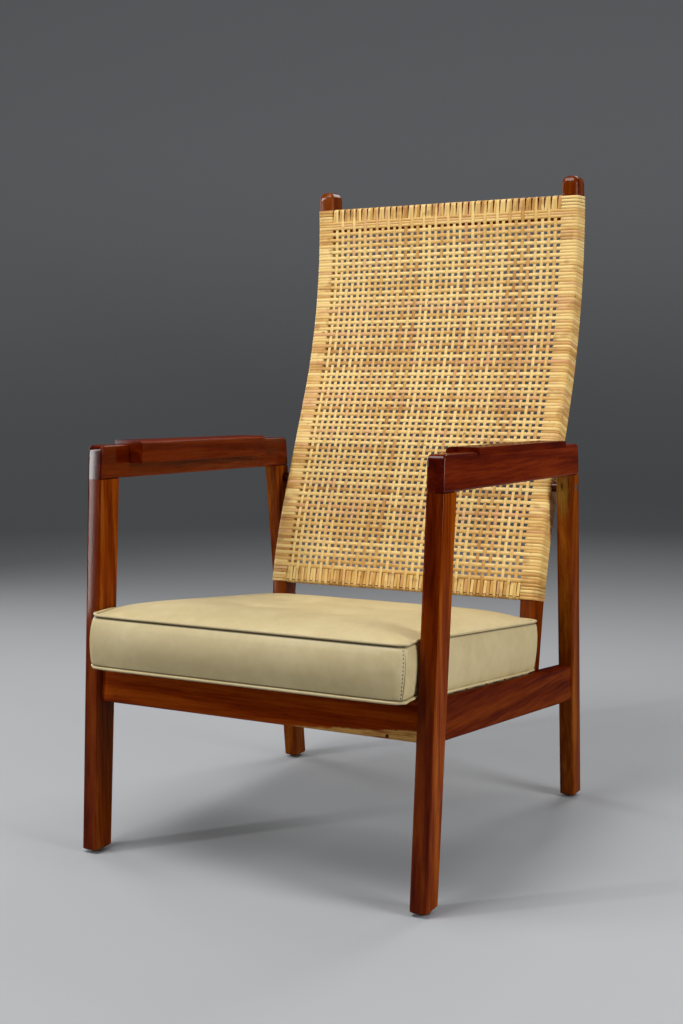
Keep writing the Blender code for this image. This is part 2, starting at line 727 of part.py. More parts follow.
def stile_ring(side, s, front, rear, trim=0.0):
    """Section of a stile square to the back line; trim draws it in all round."""
    outline = rounded_rectangle(STILE_INNER + trim, STILE_OUTER - trim, front + trim, rear - trim,
                                STILE_EDGE_RADIUS)
    return [Vector((side * x, *behind_back(s, depth))) for x, depth in outline]


def tail_ring(side):
    """Foot of a stile, level with the floor."""
    front = tail_front(TAIL_END_Z)
    outline = rounded_rectangle(STILE_INNER, STILE_OUTER, front, front + TAIL_END_DEPTH, STILE_EDGE_RADIUS)
    return [Vector((side * x, y, TAIL_END_Z)) for x, y in outline]


def back_rail_middle(low, height):
    """Middle of a rail that starts at arc length low, and the lean there."""
    s = low + height / 2
    lean = back_line(s)[2]
    y, z = behind_back(s, STILE_FRONT + BACK_RAIL_DEPTH / 2)
    return y, z, lean


BACK_RAILS = {
    "bottom": (CANE_THICKNESS + FIT, BOTTOM_RAIL_HEIGHT),
    "top": (BACK_LENGTH - CANE_THICKNESS - FIT - TOP_RAIL_HEIGHT, TOP_RAIL_HEIGHT),
}


def back_tenon(place, grow, root):
    low, height = BACK_RAILS[place]
    y, z, lean = back_rail_middle(low, height)
    length = BACK_TENON_LENGTH + grow + root
    size = (length, BACK_TENON_THICKNESS + 2 * grow, height - 2 * BACK_TENON_SHOULDER + 2 * grow)
    return Vector((STILE_INNER + length / 2 - root, y, z)), size, lean


def build_stile(side):
    """Tail, bends and a bare post whose end is rounded over."""
    rings = [tail_ring(side)]
    for s in back_stations(0.0, BACK_LENGTH):
        rings.append(stile_ring(side, s, STILE_FRONT, STILE_REAR))
    top = BACK_LENGTH + POST_HEIGHT
    for i in range(CORNER_STEPS + 1):
        angle = (pi / 2) * i / CORNER_STEPS
        s = top - POST_ROUNDING * (1 - sin(angle))
        trim = POST_DRAW_IN * (1 - cos(angle))
        rings.append(stile_ring(side, s, STILE_FRONT, STILE_REAR, trim))
    piece = add_piece(f"{SIDE_NAMES[side]}_back_stile", loft(rings), WOOD)
    for place in BACK_RAILS:
        centre, size, lean = back_tenon(place, FIT, BACK_TENON_LENGTH)
        cut(piece, block(mirrored(centre, side), size, lean))
    start = Vector((side * (STILE_OUTER + FIT), *UPPER_BOLT))
    cut(piece, rod(start, (-side, 0, 0), BOLT_IN_STILE + 2 * FIT, BOLT_RADIUS + FIT))
    start = Vector((side * (STILE_INNER - FIT), *LOWER_BOLT))
    cut(piece, rod(start, (side, 0, 0), STILE_WIDTH + 2 * FIT, BOLT_RADIUS + FIT))
    return piece


def build_stile_wrap(side):
    """Cane wound over the front, outer and rear faces of a stile."""
    front, rear = 0.0, STILE_REAR + FIT + CANE_THICKNESS
    outer = STILE_OUTER + FIT + CANE_THICKNESS
    inside_front, inside_rear = STILE_FRONT - FIT, STILE_REAR + FIT
    inside_outer = STILE_OUTER + FIT
    chamfer = STILE_EDGE_RADIUS / 2
    section = (
        (STILE_INNER, front),
        (outer - chamfer, front),
        (outer, front + chamfer),
        (outer, rear - chamfer),
        (outer - chamfer, rear),
        (STILE_INNER, rear),
        (STILE_INNER, inside_rear),
        (inside_outer - chamfer, inside_rear),
        (inside_outer, inside_rear - chamfer),
        (inside_outer, inside_front + chamfer),
        (inside_outer - chamfer, inside_front),
        (STILE_INNER, inside_front),
    )
    rings = []
    for s in back_stations(0.0, BACK_LENGTH):
        rings.append([Vector((side * x, *behind_back(s, depth))) for x, depth in section])
    piece = add_piece(f"{SIDE_NAMES[side]}_stile_wrap", loft(rings), CANE)
    start = Vector((side * STILE_OUTER, *UPPER_BOLT))
    cut(piece, rod(start, (side, 0, 0), BACK_SIDE_GAP, SPACER_RADIUS + FIT))
    return piece


def build_back_rail(place):
    """A rail between the stiles, tenoned at both ends, and the cane wound round it."""
    low, height = BACK_RAILS[place]
    y, z, lean = back_rail_middle(low, height)
    width = 2 * (STILE_INNER - FIT)
    centre = Vector((0.0, y, z))
    timber = block(centre, (width, BACK_RAIL_DEPTH, height), lean)
    rail = add_piece(f"back_{place}_rail", timber, DARK_WOOD, centre)
    for side in (LEFT, RIGHT):
        spot, size, lean = back_tenon(place, 0.0, BACK_TENON_LENGTH)
        join(rail, block(mirrored(spot, side), size, lean))
    thick = 2 * (CANE_THICKNESS + FIT)
    bore = (2 * width, BACK_RAIL_DEPTH + 2 * FIT, height + 2 * FIT)
    cane = block(centre, (width, BACK_RAIL_DEPTH + thick, height + thick), lean)
    wrap = add_piece(f"{place}_rail_wrap", cane, CANE, centre)
    cut(wrap, block(centre, bore, lean))


def build_panel():
    """The woven panel: an open net whose bars follow the back line between the rails."""
    margin = CANE_THICKNESS + 2 * FIT
    bottom = BACK_RAILS["bottom"][0] + BOTTOM_RAIL_HEIGHT + margin
    top = BACK_RAILS["top"][0] - margin
    half = STILE_INNER - FIT
    cuts_x = net_lines(-half, half, NET_COLUMNS)
    cuts_s = net_lines(bottom, top, NET_ROWS)
    bm = bmesh.new()
    layers = []
    for depth in (0.0, CANE_THICKNESS):
        layers.append([[bm.verts.new((x, *behind_back(s, depth))) for x in cuts_x] for s in cuts_s])
    last_row, last_column = len(cuts_s) - 1, len(cuts_x) - 1

    def solid(row, column):
        inside = 0 <= row < last_row and 0 <= column < last_column
        return inside and not (row % 2 and column % 2)

    def wall(row_a, column_a, row_b, column_b):
        front, rear = layers
        bm.faces.new((front[row_a][column_a], front[row_b][column_b],
                      rear[row_b][column_b], rear[row_a][column_a]))

    for row in range(last_row):
        for column in range(last_column):
            if not solid(row, column):
                continue
            for layer in layers:
                bm.faces.new((layer[row][column], layer[row][column + 1],
                              layer[row + 1][column + 1], layer[row + 1][column]))
            if not solid(row - 1, column):
                wall(row, column, row, column + 1)
            if not solid(row + 1, column):
                wall(row + 1, column, row + 1, column + 1)
            if not solid(row, column - 1):
                wall(row, column, row + 1, column)
            if not solid(row, column + 1):
                wall(row, column + 1, row + 1, column + 1)
    add_piece("woven_cane_panel", bm, CANE)


def net_lines(low, high, gaps):
    """Edges of the bars of a net, bar and gap in turn."""
    pitch = (high - low - NET_BAR) / gaps
    lines = []
    for i in range(gaps + 1):
        lines += [low + i * pitch, low + i * pitch + NET_BAR]
    return lines


def build_bolts(side):
    """The upper and the lower bolt of one stile, each with its spacer."""
    name = SIDE_NAMES[side]
    inward = (-side, 0, 0)
    z = UPPER_BOLT[1]
    head = Vector((side * leg_outer(z), *UPPER_BOLT))
    length = leg_outer(z) - STILE_OUTER + BOLT_IN_STILE
    profile = ((0.0, BOLT_HEAD_RADIUS), (BOLT_HEAD_HEIGHT, BOLT_HEAD_RADIUS),
               (BOLT_HEAD_HEIGHT, BOLT_RADIUS), (length, BOLT_RADIUS))
    add_piece(f"{name}_upper_back_bolt", turned(profile, head, inward), STEEL, head)
    end = Vector((side * (leg_inner(z) - FIT), *UPPER_BOLT))
    gap = leg_inner(z) - STILE_OUTER
    add_piece(f"{name}_upper_back_spacer", sleeve(end, inward, gap - 2 * FIT), DARK_WOOD, end)

    outward = (side, 0, 0)
    head = Vector((side * STILE_INNER, *LOWER_BOLT))
    length = STILE_WIDTH + SIDE_RAIL_INNER - STILE_OUTER + BOLT_IN_RAIL
    profile = ((-BOLT_HEAD_HEIGHT, BOLT_HEAD_RADIUS), (-FIT, BOLT_HEAD_RADIUS),
               (-FIT, BOLT_RADIUS), (length, BOLT_RADIUS))
    add_piece(f"{name}_lower_back_bolt", turned(profile, head, outward), STEEL, head)
    end = Vector((side * (STILE_OUTER + FIT), *LOWER_BOLT))
    gap = SIDE_RAIL_INNER - STILE_OUTER
    add_piece(f"{name}_lower_back_spacer", sleeve(end, outward, gap - 2 * FIT), DARK_WOOD, end)


def sleeve(start, direction, length, sides=ROUND_SIDES):
    """A spacer ring round a bolt."""
    bore = BOLT_RADIUS + FIT
    profile = ((0.0, bore), (0.0, SPACER_RADIUS), (length, SPACER_RADIUS), (length, bore))
    start = Vector(start)
    axis = Vector(direction).normalized()
    across = axis.orthogonal().normalized()
    other = axis.cross(across)
    rings = []
    for i in range(sides):
        angle = 2 * pi * i / sides
        outwards = across * cos(angle) + other * sin(angle)
        rings.append([start + axis * distance + outwards * radius for distance, radius in profile])
    return loft(rings, closed=True)


# Cushion

# Rows of the boxing as shares of its height, from the top seam down
BOXING_ROWS = (1 - BOXING_LOW_ROW, BOXING_LOW_ROW, 0.0)


def boxing_swell(share):
    """How far the boxing stands out between its two seams."""
    return 4 * CUSHION_BULGE * share * (1 - share)


# The piping stands clear of the swell beside it
SWELL_SLOPE = boxing_swell(BOXING_LOW_ROW) / (BOXING_LOW_ROW * CUSHION_BOXING)
PIPING_STAND = PIPING_RADIUS + FIT + SWELL_SLOPE * 2 * PIPING_RADIUS
PIPING_REACH = PIPING_STAND + PIPING_RADIUS
CUSHION_HALF_WIDTH = leg_inner(SEAT_HEIGHT) - CUSHION_SIDE_GAP - PIPING_REACH
CUSHION_FRONT = leg_front(FRONT_LEG, SEAT_HEIGHT) - CUSHION_OVERHANG + PIPING_REACH


def rear_room(up):
    """How far back the cushion may reach at a height above the seat plane, short of the stiles."""
    z = seat_z(BACK_START_Y) + up * cos(SEAT_SLOPE)
    return tail_front(z) - up * sin(SEAT_SLOPE)


CUSHION_REAR = min(rear_room(0.0), rear_room(CUSHION_BOXING)) - CUSHION_REAR_GAP - PIPING_REACH
CUSHION_MIDDLE = (CUSHION_FRONT + CUSHION_REAR) / 2
CUSHION_HALF_DEPTH = (CUSHION_REAR - CUSHION_FRONT) / 2 / cos(SEAT_SLOPE)


def seat_frame(across, along, up):
    """From the cushion's own directions to the world: up is square to the seat plane."""
    middle = seat_point(0.0, CUSHION_MIDDLE, -FIT)
    slope = Vector((0, cos(SEAT_SLOPE), -sin(SEAT_SLOPE)))
    return middle + Vector((across, 0, 0)) + slope * along + SEAT_NORMAL * up


def cushion_plan(a, b):
    """Plan of the seams: sides drawn in between corners that are rounded off."""
    side_pull = CUSHION_DRAW_IN * (1 - b * b) + CUSHION_CORNER_PULL * abs(b) ** CORNER_SHARPNESS
    end_pull = CUSHION_DRAW_IN * (1 - a * a) + CUSHION_CORNER_PULL * abs(a) ** CORNER_SHARPNESS
    return a * (CUSHION_HALF_WIDTH - side_pull), b * (CUSHION_HALF_DEPTH - end_pull)


def cushion_top(a, b):
    """Height of the cushion's top: a crown with four dips where it is sewn through."""
    across, along = cushion_plan(a, b)
    height = CUSHION_BOXING + CUSHION_CROWN * (1 - a ** CROWN_FLATNESS) * (1 - b ** CROWN_FLATNESS)
    for tuft_x in (-TUFT_SPACING_X / 2, TUFT_SPACING_X / 2):
        for tuft_y in (-TUFT_SPACING_Y / 2, TUFT_SPACING_Y / 2):
            away = ((across - tuft_x) ** 2 + (along - tuft_y) ** 2) / TUFT_RADIUS ** 2
            height -= TUFT_DEPTH / (1 + away) ** 2
    return height


def seam_parameters():
    """Round the edge of the plan, as (a, b) from -1 to 1."""
    n = CUSHION_GRID
    steps = [-1 + 2 * i / n for i in range(n)]
    return ([(t, -1) for t in steps] + [(1, t) for t in steps]
            + [(-t, 1) for t in steps] + [(-1, -t) for t in steps])


def build_cushion(lift):
    n = CUSHION_GRID
    bm = bmesh.new()
    grid = []
    for j in range(n + 1):
        row = []
        for i in range(n + 1):
            a, b = -1 + 2 * i / n, -1 + 2 * j / n
            row.append(bm.verts.new(seat_frame(*cushion_plan(a, b), cushion_top(a, b))))
        grid.append(row)
    for j in range(n):
        for i in range(n):
            bm.faces.new((grid[j][i], grid[j][i + 1], grid[j + 1][i + 1], grid[j + 1][i]))
    edge = ([grid[0][i] for i in range(n)] + [grid[j][n] for j in range(n)]
            + [grid[n][n - i] for i in range(n)] + [grid[n - j][0] for j in range(n)])
    upper = edge
    for share in BOXING_ROWS:
        swell = boxing_swell(share)
        lower = []
        for a, b in seam_parameters():
            across, along = cushion_plan(a, b)
            across += swell * a
            along += swell * b
            lower.append(bm.verts.new(seat_frame(across, along, CUSHION_BOXING * share)))
        for k in range(len(edge)):
            m = (k + 1) % len(edge)
            bm.faces.new((upper[k], upper[m], lower[m], lower[k]))
        upper = lower
    bm.faces.new(upper)
    add_piece("seat_cushion", bm, LEATHER, lift.location, lift)


def build_piping(name, height, lift):
    """A welt sewn along a seam: a closed tube that lies against the boxing."""
    sides = 6
    rings = []
    for a, b in seam_parameters():
        across, along = cushion_plan(a, b)
        turn = CORNER_SHARPNESS - 1
        outward = Vector((a * abs(a) ** turn, b * abs(b) ** turn, 0)).normalized()
        centre = Vector((across, along, height)) + PIPING_STAND * outward
        ring = []
        for i in range(sides):
            angle = 2 * pi * i / sides
            point = centre + PIPING_RADIUS * (outward * cos(angle) + Vector((0, 0, sin(angle))))
            ring.append(seat_frame(*point))
        rings.append(ring)
    add_piece(name, loft(rings, closed=True), LEATHER, lift.location, lift)


# The chair

for old in list(bpy.data.objects):
    bpy.data.objects.remove(old, do_unlink=True)

for chair_side in (LEFT, RIGHT):
    front_leg = build_leg(chair_side, "front", FRONT_LEG)
    rear_leg = build_leg(chair_side, "rear", REAR_LEG)
    for chair_leg, shape in ((front_leg, FRONT_LEG), (rear_leg, REAR_LEG)):
        spot, extent = side_tenon(shape, FIT, SIDE_TENON_LENGTH)
        cut(chair_leg, block(mirrored(spot, chair_side), extent, SEAT_SLOPE))
    spot, extent = front_rail_tenon(FIT, FRONT_TENON_LENGTH)
    cut(front_leg, block(mirrored(spot, chair_side), extent, SEAT_SLOPE))
    bolt_face = leg_outer(UPPER_BOLT[1])
    hole_start = (chair_side * (bolt_face + LEG_THICKNESS), *UPPER_BOLT)
    cut(rear_leg, rod(hole_start, (-chair_side, 0, 0), LEG_THICKNESS + BOLT_HEAD_HEIGHT + FIT,
                      BOLT_HEAD_RADIUS + FIT))
    cut(rear_leg, rod(hole_start, (-chair_side, 0, 0), 3 * LEG_THICKNESS, BOLT_RADIUS + FIT))
    build_arm(chair_side)
    build_pad(chair_side)
    build_side_rail(chair_side)
    build_stile(chair_side)
    build_stile_wrap(chair_side)
    build_pad_dowels(chair_side)
    build_bolts(chair_side)

build_front_rail()
build_rear_rail()
build_straps()
build_back_rail("top")
build_back_rail("bottom")
build_panel()

cushion_lift = bpy.data.objects.new("cushion_lift", None)
bpy.context.collection.objects.link(cushion_lift)
cushion_lift.location = seat_frame(0.0, 0.0, 0.0)
build_cushion(cushion_lift)
build_piping("cushion_top_piping", CUSHION_BOXING, cushion_lift)
build_piping("cushion_bottom_piping", PIPING_RADIUS, cushion_lift)
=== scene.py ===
from math import cos, pi, radians, sin

import bmesh
import bpy
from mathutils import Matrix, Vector
from mathutils.bvhtree import BVHTree


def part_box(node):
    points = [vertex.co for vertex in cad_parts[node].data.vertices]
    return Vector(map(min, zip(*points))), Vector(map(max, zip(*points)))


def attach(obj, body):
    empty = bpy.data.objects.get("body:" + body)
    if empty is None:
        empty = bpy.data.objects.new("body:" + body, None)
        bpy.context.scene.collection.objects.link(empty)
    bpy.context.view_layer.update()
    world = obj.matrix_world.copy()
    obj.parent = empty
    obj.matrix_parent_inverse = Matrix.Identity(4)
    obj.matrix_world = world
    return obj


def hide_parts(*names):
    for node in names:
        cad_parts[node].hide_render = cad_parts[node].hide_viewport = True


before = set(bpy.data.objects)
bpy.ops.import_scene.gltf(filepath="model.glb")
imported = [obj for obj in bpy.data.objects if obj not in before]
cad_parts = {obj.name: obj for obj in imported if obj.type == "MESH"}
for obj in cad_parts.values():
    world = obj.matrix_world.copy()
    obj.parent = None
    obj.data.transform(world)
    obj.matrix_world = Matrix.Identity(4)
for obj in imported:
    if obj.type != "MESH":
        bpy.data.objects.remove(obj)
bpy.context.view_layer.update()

scene = bpy.context.scene
scene.view_settings.view_transform = "Standard"


# Studio: a pale paper floor that dims with distance and sweeps up into a round grey wall, so every side
# has the same plain background. Soft boxes hang overhead, at each side and behind, and a narrow strip
# stands in front, at the viewer's left.

FLOOR_SIDES, FLOOR_REACH, WALL_SWEEP, WALL_HEIGHT = 72, 4.5, 2.0, 4.5
PAPER_SHADES = (0.40, 0.409, 0.422), (0.42, 0.429, 0.442)
FAR_GREY, WALL_GREY, BOUNCE_GREY = (0.26, 0.266, 0.275), (0.52, 0.532, 0.555), (0.15, 0.153, 0.16)

camera_data = bpy.data.cameras.new("camera")
camera_data.lens = 49.02
camera_data.sensor_width = 36
camera = bpy.data.objects.new("camera", camera_data)
camera.location = (1.0039, -1.9487, 0.6978)
camera.rotation_euler = (radians(90 - 5.382), 0, radians(27.908))
scene.collection.objects.link(camera)
scene.camera = camera


class Wire:
    """One socket of a node tree. Sums on it are written as Python expressions and add Math nodes."""

    def __init__(self, tree, socket=None):
        self.tree = tree
        self.socket = socket

    def put(self, kind, settings=None, values=None, out=0):
        """Adds a node: its settings first, then the values or links of its sockets."""
        node = self.tree.nodes.new(kind)
        for name, value in (settings or {}).items():
            if name == "stops":
                ramp = node.color_ramp.elements
                while len(ramp) < len(value):
                    ramp.new(1.0)
                for element, (position, colour) in zip(ramp, value):
                    element.position = position
                    element.color = (*colour, 1.0)
            else:
                setattr(node, name, value)
        for name, value in (values or {}).items():
            if isinstance(value, Wire):
                self.tree.links.new(value.socket, node.inputs[name])
            else:
                node.inputs[name].default_value = value
        return Wire(self.tree, node.outputs[out] if node.outputs else None)

    def output(self, name):
        return Wire(self.tree, self.socket.node.outputs[name])

    def math(self, operation, first, second=0.0):
        return self.put("ShaderNodeMath", {"operation": operation}, {0: first, 1: second})

    def vector(self, operation, first, second=(0.0, 0.0, 0.0), out=0):
        return self.put("ShaderNodeVectorMath", {"operation": operation}, {0: first, 1: second}, out)

    def __add__(self, other):
        return self.math("ADD", self, other)

    __radd__ = __add__

    def __sub__(self, other):
        return self.math("SUBTRACT", self, other)

    def __rsub__(self, other):
        return self.math("SUBTRACT", other, self)

    def __mul__(self, other):
        return self.math("MULTIPLY", self, other)

    __rmul__ = __mul__

    def __truediv__(self, other):
        return self.math("DIVIDE", self, other)

    def __rtruediv__(self, other):
        return self.math("DIVIDE", other, self)

    def between(self, low, high):
        """0 at low, 1 at high, smooth in between; low may be the larger of the two."""
        return self.put("ShaderNodeMapRange", {"interpolation_type": "SMOOTHSTEP"},
                        {"Value": self, "From Min": low, "From Max": high})


def finish_of(name):
    """A new material, its Principled shader, and a wire to start its tree from."""
    material = bpy.data.materials.new(name)
    material.use_nodes = True
    tree = material.node_tree
    return material, tree.nodes["Principled BSDF"], Wire(tree)


def feed(shader, wire, socket):
    wire.tree.links.new(wire.socket, shader.inputs[socket])


def fixed(shader, values):
    for name, value in values.items():
        shader.inputs[name].default_value = value


def object_place(wire):
    """Object coordinates. Every piece lies at the origin, so these are metres in the chair's own frame."""
    return wire.put("ShaderNodeTexCoord", out="Object")


def split(wire, vector):
    """The first part of a vector; output(1) and output(2) of it give the others."""
    return wire.put("ShaderNodeSeparateXYZ", {}, {0: vector})


def noise(wire, at, scale, detail=2.0, rough=0.5, twist=0.0):
    return wire.put("ShaderNodeTexNoise", {}, {"Vector": at, "Scale": scale, "Detail": detail,
                                               "Roughness": rough, "Distortion": twist})


def mixed(wire, share, first, second, blend="MIX"):
    """Colours go through a Mix node: share 0 gives the first, 1 the second."""
    def full(colour):
        return colour if isinstance(colour, Wire) else (*colour, 1.0)
    return wire.put("ShaderNodeMix", {"data_type": "RGBA", "blend_type": blend},
                    {0: share, 6: full(first), 7: full(second)}, out=2)


def soft_box(name, place, aim, size, power):
    lamp = bpy.data.lights.new(name, "AREA")
    lamp.shape = "RECTANGLE"
    lamp.size, lamp.size_y = size
    lamp.energy = power
    stand = bpy.data.objects.new(name, lamp)
    stand.location = place
    stand.rotation_euler = (Vector(aim) - Vector(place)).to_track_quat("-Z", "Y").to_euler()
    scene.collection.objects.link(stand)


soft_box("front_left_strip", (-1.973, -2.380, 1.25), (0.0, -0.1, 0.60), (0.12, 2.2), 29)
soft_box("overhead_box", (-0.55, -1.0, 2.6), (0.0, -0.05, 0.5), (1.2, 1.2), 50)
soft_box("right_box", (2.5, -0.35, 1.10), (0.0, 0.0, 0.50), (0.9, 1.5), 43)
soft_box("left_box", (-2.6, 0.7, 1.30), (0.0, 0.0, 0.50), (1.0, 1.4), 20)
soft_box("rear_box", (0.4, 2.7, 2.70), (0.0, 0.15, 0.55), (1.6, 1.2), 40)

sky = bpy.data.worlds.new("studio_air")
sky.use_nodes = True
fixed(sky.node_tree.nodes["Background"], {"Color": (0.80, 0.82, 0.85, 1.0), "Strength": 0.18})
scene.world = sky

paper, shader, start = finish_of("studio_paper")
fixed(shader, {"Roughness": 0.75, "Specular IOR Level": 0.2})
place = object_place(start)
ray = start.put("ShaderNodeLightPath", out="Is Camera Ray")
seen = ray + ray.output("Is Glossy Ray") + ray.output("Is Transmission Ray")
far = start.vector("LENGTH", place, out=1).between(0.9, 3.2)
colour = mixed(start, noise(start, place, 1.2, 3.0), *PAPER_SHADES)
colour = mixed(start, far, colour, FAR_GREY)
wall = split(start, place).output(2).between(0.1, 2.2)
colour = mixed(start, wall, colour, WALL_GREY)
feed(shader, mixed(start, seen, BOUNCE_GREY, colour), "Base Color")


def piece_of(shape, name, material=None):
    """Puts a finished shape into the scene."""
    mesh = bpy.data.meshes.new(name)
    shape.to_mesh(mesh)
    shape.free()
    if material:
        mesh.materials.append(material)
    piece = bpy.data.objects.new(name, mesh)
    scene.collection.objects.link(piece)
    return piece


cove = bmesh.new()
sweep = [(1.5, 0.0), (3.0, 0.0), (FLOOR_REACH, 0.0)]
for degrees in range(9, 91, 9):
    angle = radians(degrees)
    sweep.append((FLOOR_REACH + WALL_SWEEP * sin(angle), WALL_SWEEP - WALL_SWEEP * cos(angle)))
sweep.append((FLOOR_REACH + WALL_SWEEP, WALL_HEIGHT))
middle = cove.verts.new((0, 0, 0))
turns = [2 * pi * i / FLOOR_SIDES for i in range(FLOOR_SIDES)]
rings = [[cove.verts.new((r * cos(t), r * sin(t), z)) for t in turns] for r, z in sweep]
for i in range(FLOOR_SIDES):
    following = (i + 1) % FLOOR_SIDES
    cove.faces.new((middle, rings[0][i], rings[0][following]))
    for inner, outer in zip(rings, rings[1:]):
        cove.faces.new((inner[i], outer[i], outer[following], inner[following]))
for face in cove.faces:
    face.smooth = True
studio_floor = piece_of(cove, "studio_floor", paper)


# Legs: four tapered, raked posts of solid reddish-brown wood, each with a tenon up into its arm rail.
# The edges are rounded by hand and the wood has a satin lacquer; the left rear leg shows a small knot.

GRAIN_X, GRAIN_Y, GRAIN_Z = 0, 1, 2
RIGHT_SIDE_SHIFT = 3.7
WOOD_SHADES = [(0.33, (0.105, 0.012, 0.0002)), (0.45, (0.200, 0.034, 0.0007)), (0.58, (0.310, 0.078, 0.0035))]
PORE_BROWN, KNOT_BROWN, FRONT_SHADE_BROWN = (0.026, 0.005, 0.0006), (0.03, 0.006, 0.002), (0.45, 0.22, 0.15)
OLIVE_STREAK = (0.27, 0.150, 0.022)
GRAIN_STRETCH = 0.055
LEG_KNOT = (0.270, 0.193, 0.526)


def bumped(shader, wire, height, strength, distance):
    normal = wire.put("ShaderNodeBump", {}, {"Strength": strength, "Distance": distance, "Height": height})
    feed(shader, normal, "Normal")


def stretched(wire, at, scale, shift=(0.0, 0.0, 0.0)):
    return wire.put("ShaderNodeMapping", {}, {"Vector": at, "Location": shift, "Scale": scale})


def timber(name, grain, shift, tone, mark=None, dark_front=0.0, gloss=0.40):
    """Lacquered wood with its figure along one axis. tone is its depth, and how yellow it is; mark can add
    a knot or sapwood, the front shade setting darkens the faces that look forwards or back as painted shade,
    and gloss is the lacquer."""
    material, shader, start = finish_of(name)
    along_grain = [1.0, 1.0, 1.0]
    along_grain[grain] = GRAIN_STRETCH
    place = object_place(start)
    board = stretched(start, place, along_grain, shift)
    drift = noise(start, board, 26.0, 2.0, 0.5, 0.5)
    ring = start.put("ShaderNodeTexWave", {"bands_direction": "DIAGONAL", "wave_profile": "SIN"},
                     {"Vector": board, "Scale": 17.0, "Distortion": 7.0, "Detail": 2.0,
                      "Detail Scale": 1.2, "Detail Roughness": 0.5})
    streak = noise(start, board, 230.0, 4.0, 0.6)
    pore = noise(start, board, 1500.0, 2.0).between(0.60, 0.68)
    figure = 0.38 * drift + 0.10 * ring + 0.42 * streak
    depth, yellow = tone
    shades = [(spot, (depth * red, depth * yellow * green, depth * yellow * blue))
              for spot, (red, green, blue) in WOOD_SHADES]
    colour = start.put("ShaderNodeValToRGB", {"stops": shades}, {"Fac": figure})
    if mark:
        colour = mark(start, place, colour)
    # Painted shade: faces that look forwards or back are darkened, as if less lit than the sides.
    if dark_front:
        shaded_facing = split(start, start.put("ShaderNodeNewGeometry", out="Normal"))
        shaded_facing = start.math("ABSOLUTE", shaded_facing.output(1)).between(0.45, 0.85)
        colour = mixed(start, dark_front * shaded_facing, colour, FRONT_SHADE_BROWN, "MULTIPLY")
    feed(shader, mixed(start, 0.40 * pore, colour, PORE_BROWN), "Base Color")
    feed(shader, 0.24 + 0.14 * streak + 0.10 * pore, "Roughness")
    bumped(shader, start, 0.6 * streak - 0.5 * pore, 0.12, 0.0004)
    fixed(shader, {"Specular IOR Level": 0.0, "Coat Weight": gloss, "Coat Roughness": 0.09, "Coat IOR": 1.45})
    return material


def dressed(node, material, ending, angle=38):
    """A copy of a CAD piece, merged and shaded smooth over its roundings, that stands for it."""
    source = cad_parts[node].data
    shape = bmesh.new()
    points = [shape.verts.new(v.co) for v in source.vertices]
    for polygon in source.polygons:
        shape.faces.new([points[i] for i in polygon.vertices])
    bmesh.ops.remove_doubles(shape, verts=shape.verts[:], dist=2e-6)
    bmesh.ops.dissolve_limit(shape, angle_limit=radians(0.6), verts=shape.verts[:], edges=shape.edges[:])
    for face in shape.faces:
        face.smooth = True
    for edge in shape.edges:
        edge.smooth = edge.calc_face_angle(pi) < radians(angle)
    piece = piece_of(shape, node + ending, material)
    even = piece.modifiers.new("even shading", "WEIGHTED_NORMAL")
    even.keep_sharp = True
    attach(piece, "frame")
    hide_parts(node)


def wooden(node, grain, shift, tone, slot="frame_wood", **finish):
    """A timber piece in its own cut of the wood."""
    dressed(node, timber(node + "_wood", grain, shift, tone, **finish), "_wood")


def leg_knot(start, place, colour):
    """Paler olive streaks round a small knot, just under the arm."""
    near = start.vector("SUBTRACT", place, LEG_KNOT)
    near = start.vector("MULTIPLY", near, (1.0, 1.0, 0.22))
    near = start.vector("LENGTH", near, out=1)
    fibre = noise(start, stretched(start, place, (1, 1, 0.06)), 320.0, 3.0)
    pale = near.between(0.017, 0.004) * fibre.between(0.36, 0.60)
    colour = mixed(start, 0.85 * pale, colour, OLIVE_STREAK)
    return mixed(start, near.between(0.0030, 0.0012), colour, KNOT_BROWN)


# The front legs carry painted shade on their forward and backward faces.
for side, turn in (("left", 0.0), ("right", RIGHT_SIDE_SHIFT)):
    wooden(side + "_front_leg", GRAIN_Z, (1.3 + turn, 0.4, 0.2), (1.15, 1.0), dark_front=0.8, gloss=0.17)
    wooden(side + "_rear_leg", GRAIN_Z, (2.1 + turn, 0.9, 0.7), (0.98, 1.12), gloss=0.16,
           mark=leg_knot if side == "left" else None)


# Seat rails: four boards of the same wood. Front and side rails are tenoned into the legs, and the rear
# one into the side rails. The front rail's lower edge holds a pale wedge of sapwood.

SAPWOOD_FROM, SAPWOOD_RISE, SAPWOOD_YELLOW = 0.045, 0.075, (0.66, 0.36, 0.10)
SAPWOOD_KNOT = (0.212, -0.325, 0.006)


def sapwood(start, place, colour):
    """A pale wedge with a small knot, rising from the rail's lower edge towards its left end."""
    spot = split(start, place)
    fibre = noise(start, stretched(start, place, (0.10, 1, 1)), 260.0, 3.0)
    ragged = noise(start, place, 60.0, 3.0)
    rise = (spot - SAPWOOD_FROM) * SAPWOOD_RISE + (ragged - 0.5) * 0.006
    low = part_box("front_seat_rail")[0].z
    wedge = (spot.output(2) - low - rise).between(0.0025, -0.0005) * spot.between(0.05, 0.09)
    colour = mixed(start, wedge * fibre.between(0.22, 0.55), colour, SAPWOOD_YELLOW)
    x, y, up = SAPWOOD_KNOT
    from_knot = start.vector("DISTANCE", place, (x, y, low + up), out=1)
    return mixed(start, from_knot.between(0.0035, 0.0015), colour, KNOT_BROWN)


for side, turn in (("left", 0.0), ("right", RIGHT_SIDE_SHIFT)):
    wooden(side + "_side_rail", GRAIN_Y, (0.2 + turn, 1.1, 0.5), (0.54, 0.64), gloss=0.08)
wooden("front_seat_rail", GRAIN_X, (0.6, 2.3, 0.1), (1.28, 0.72), mark=sapwood, gloss=0.18)
wooden("rear_seat_rail", GRAIN_X, (1.6, 3.1, 0.8), (0.9, 1.0))
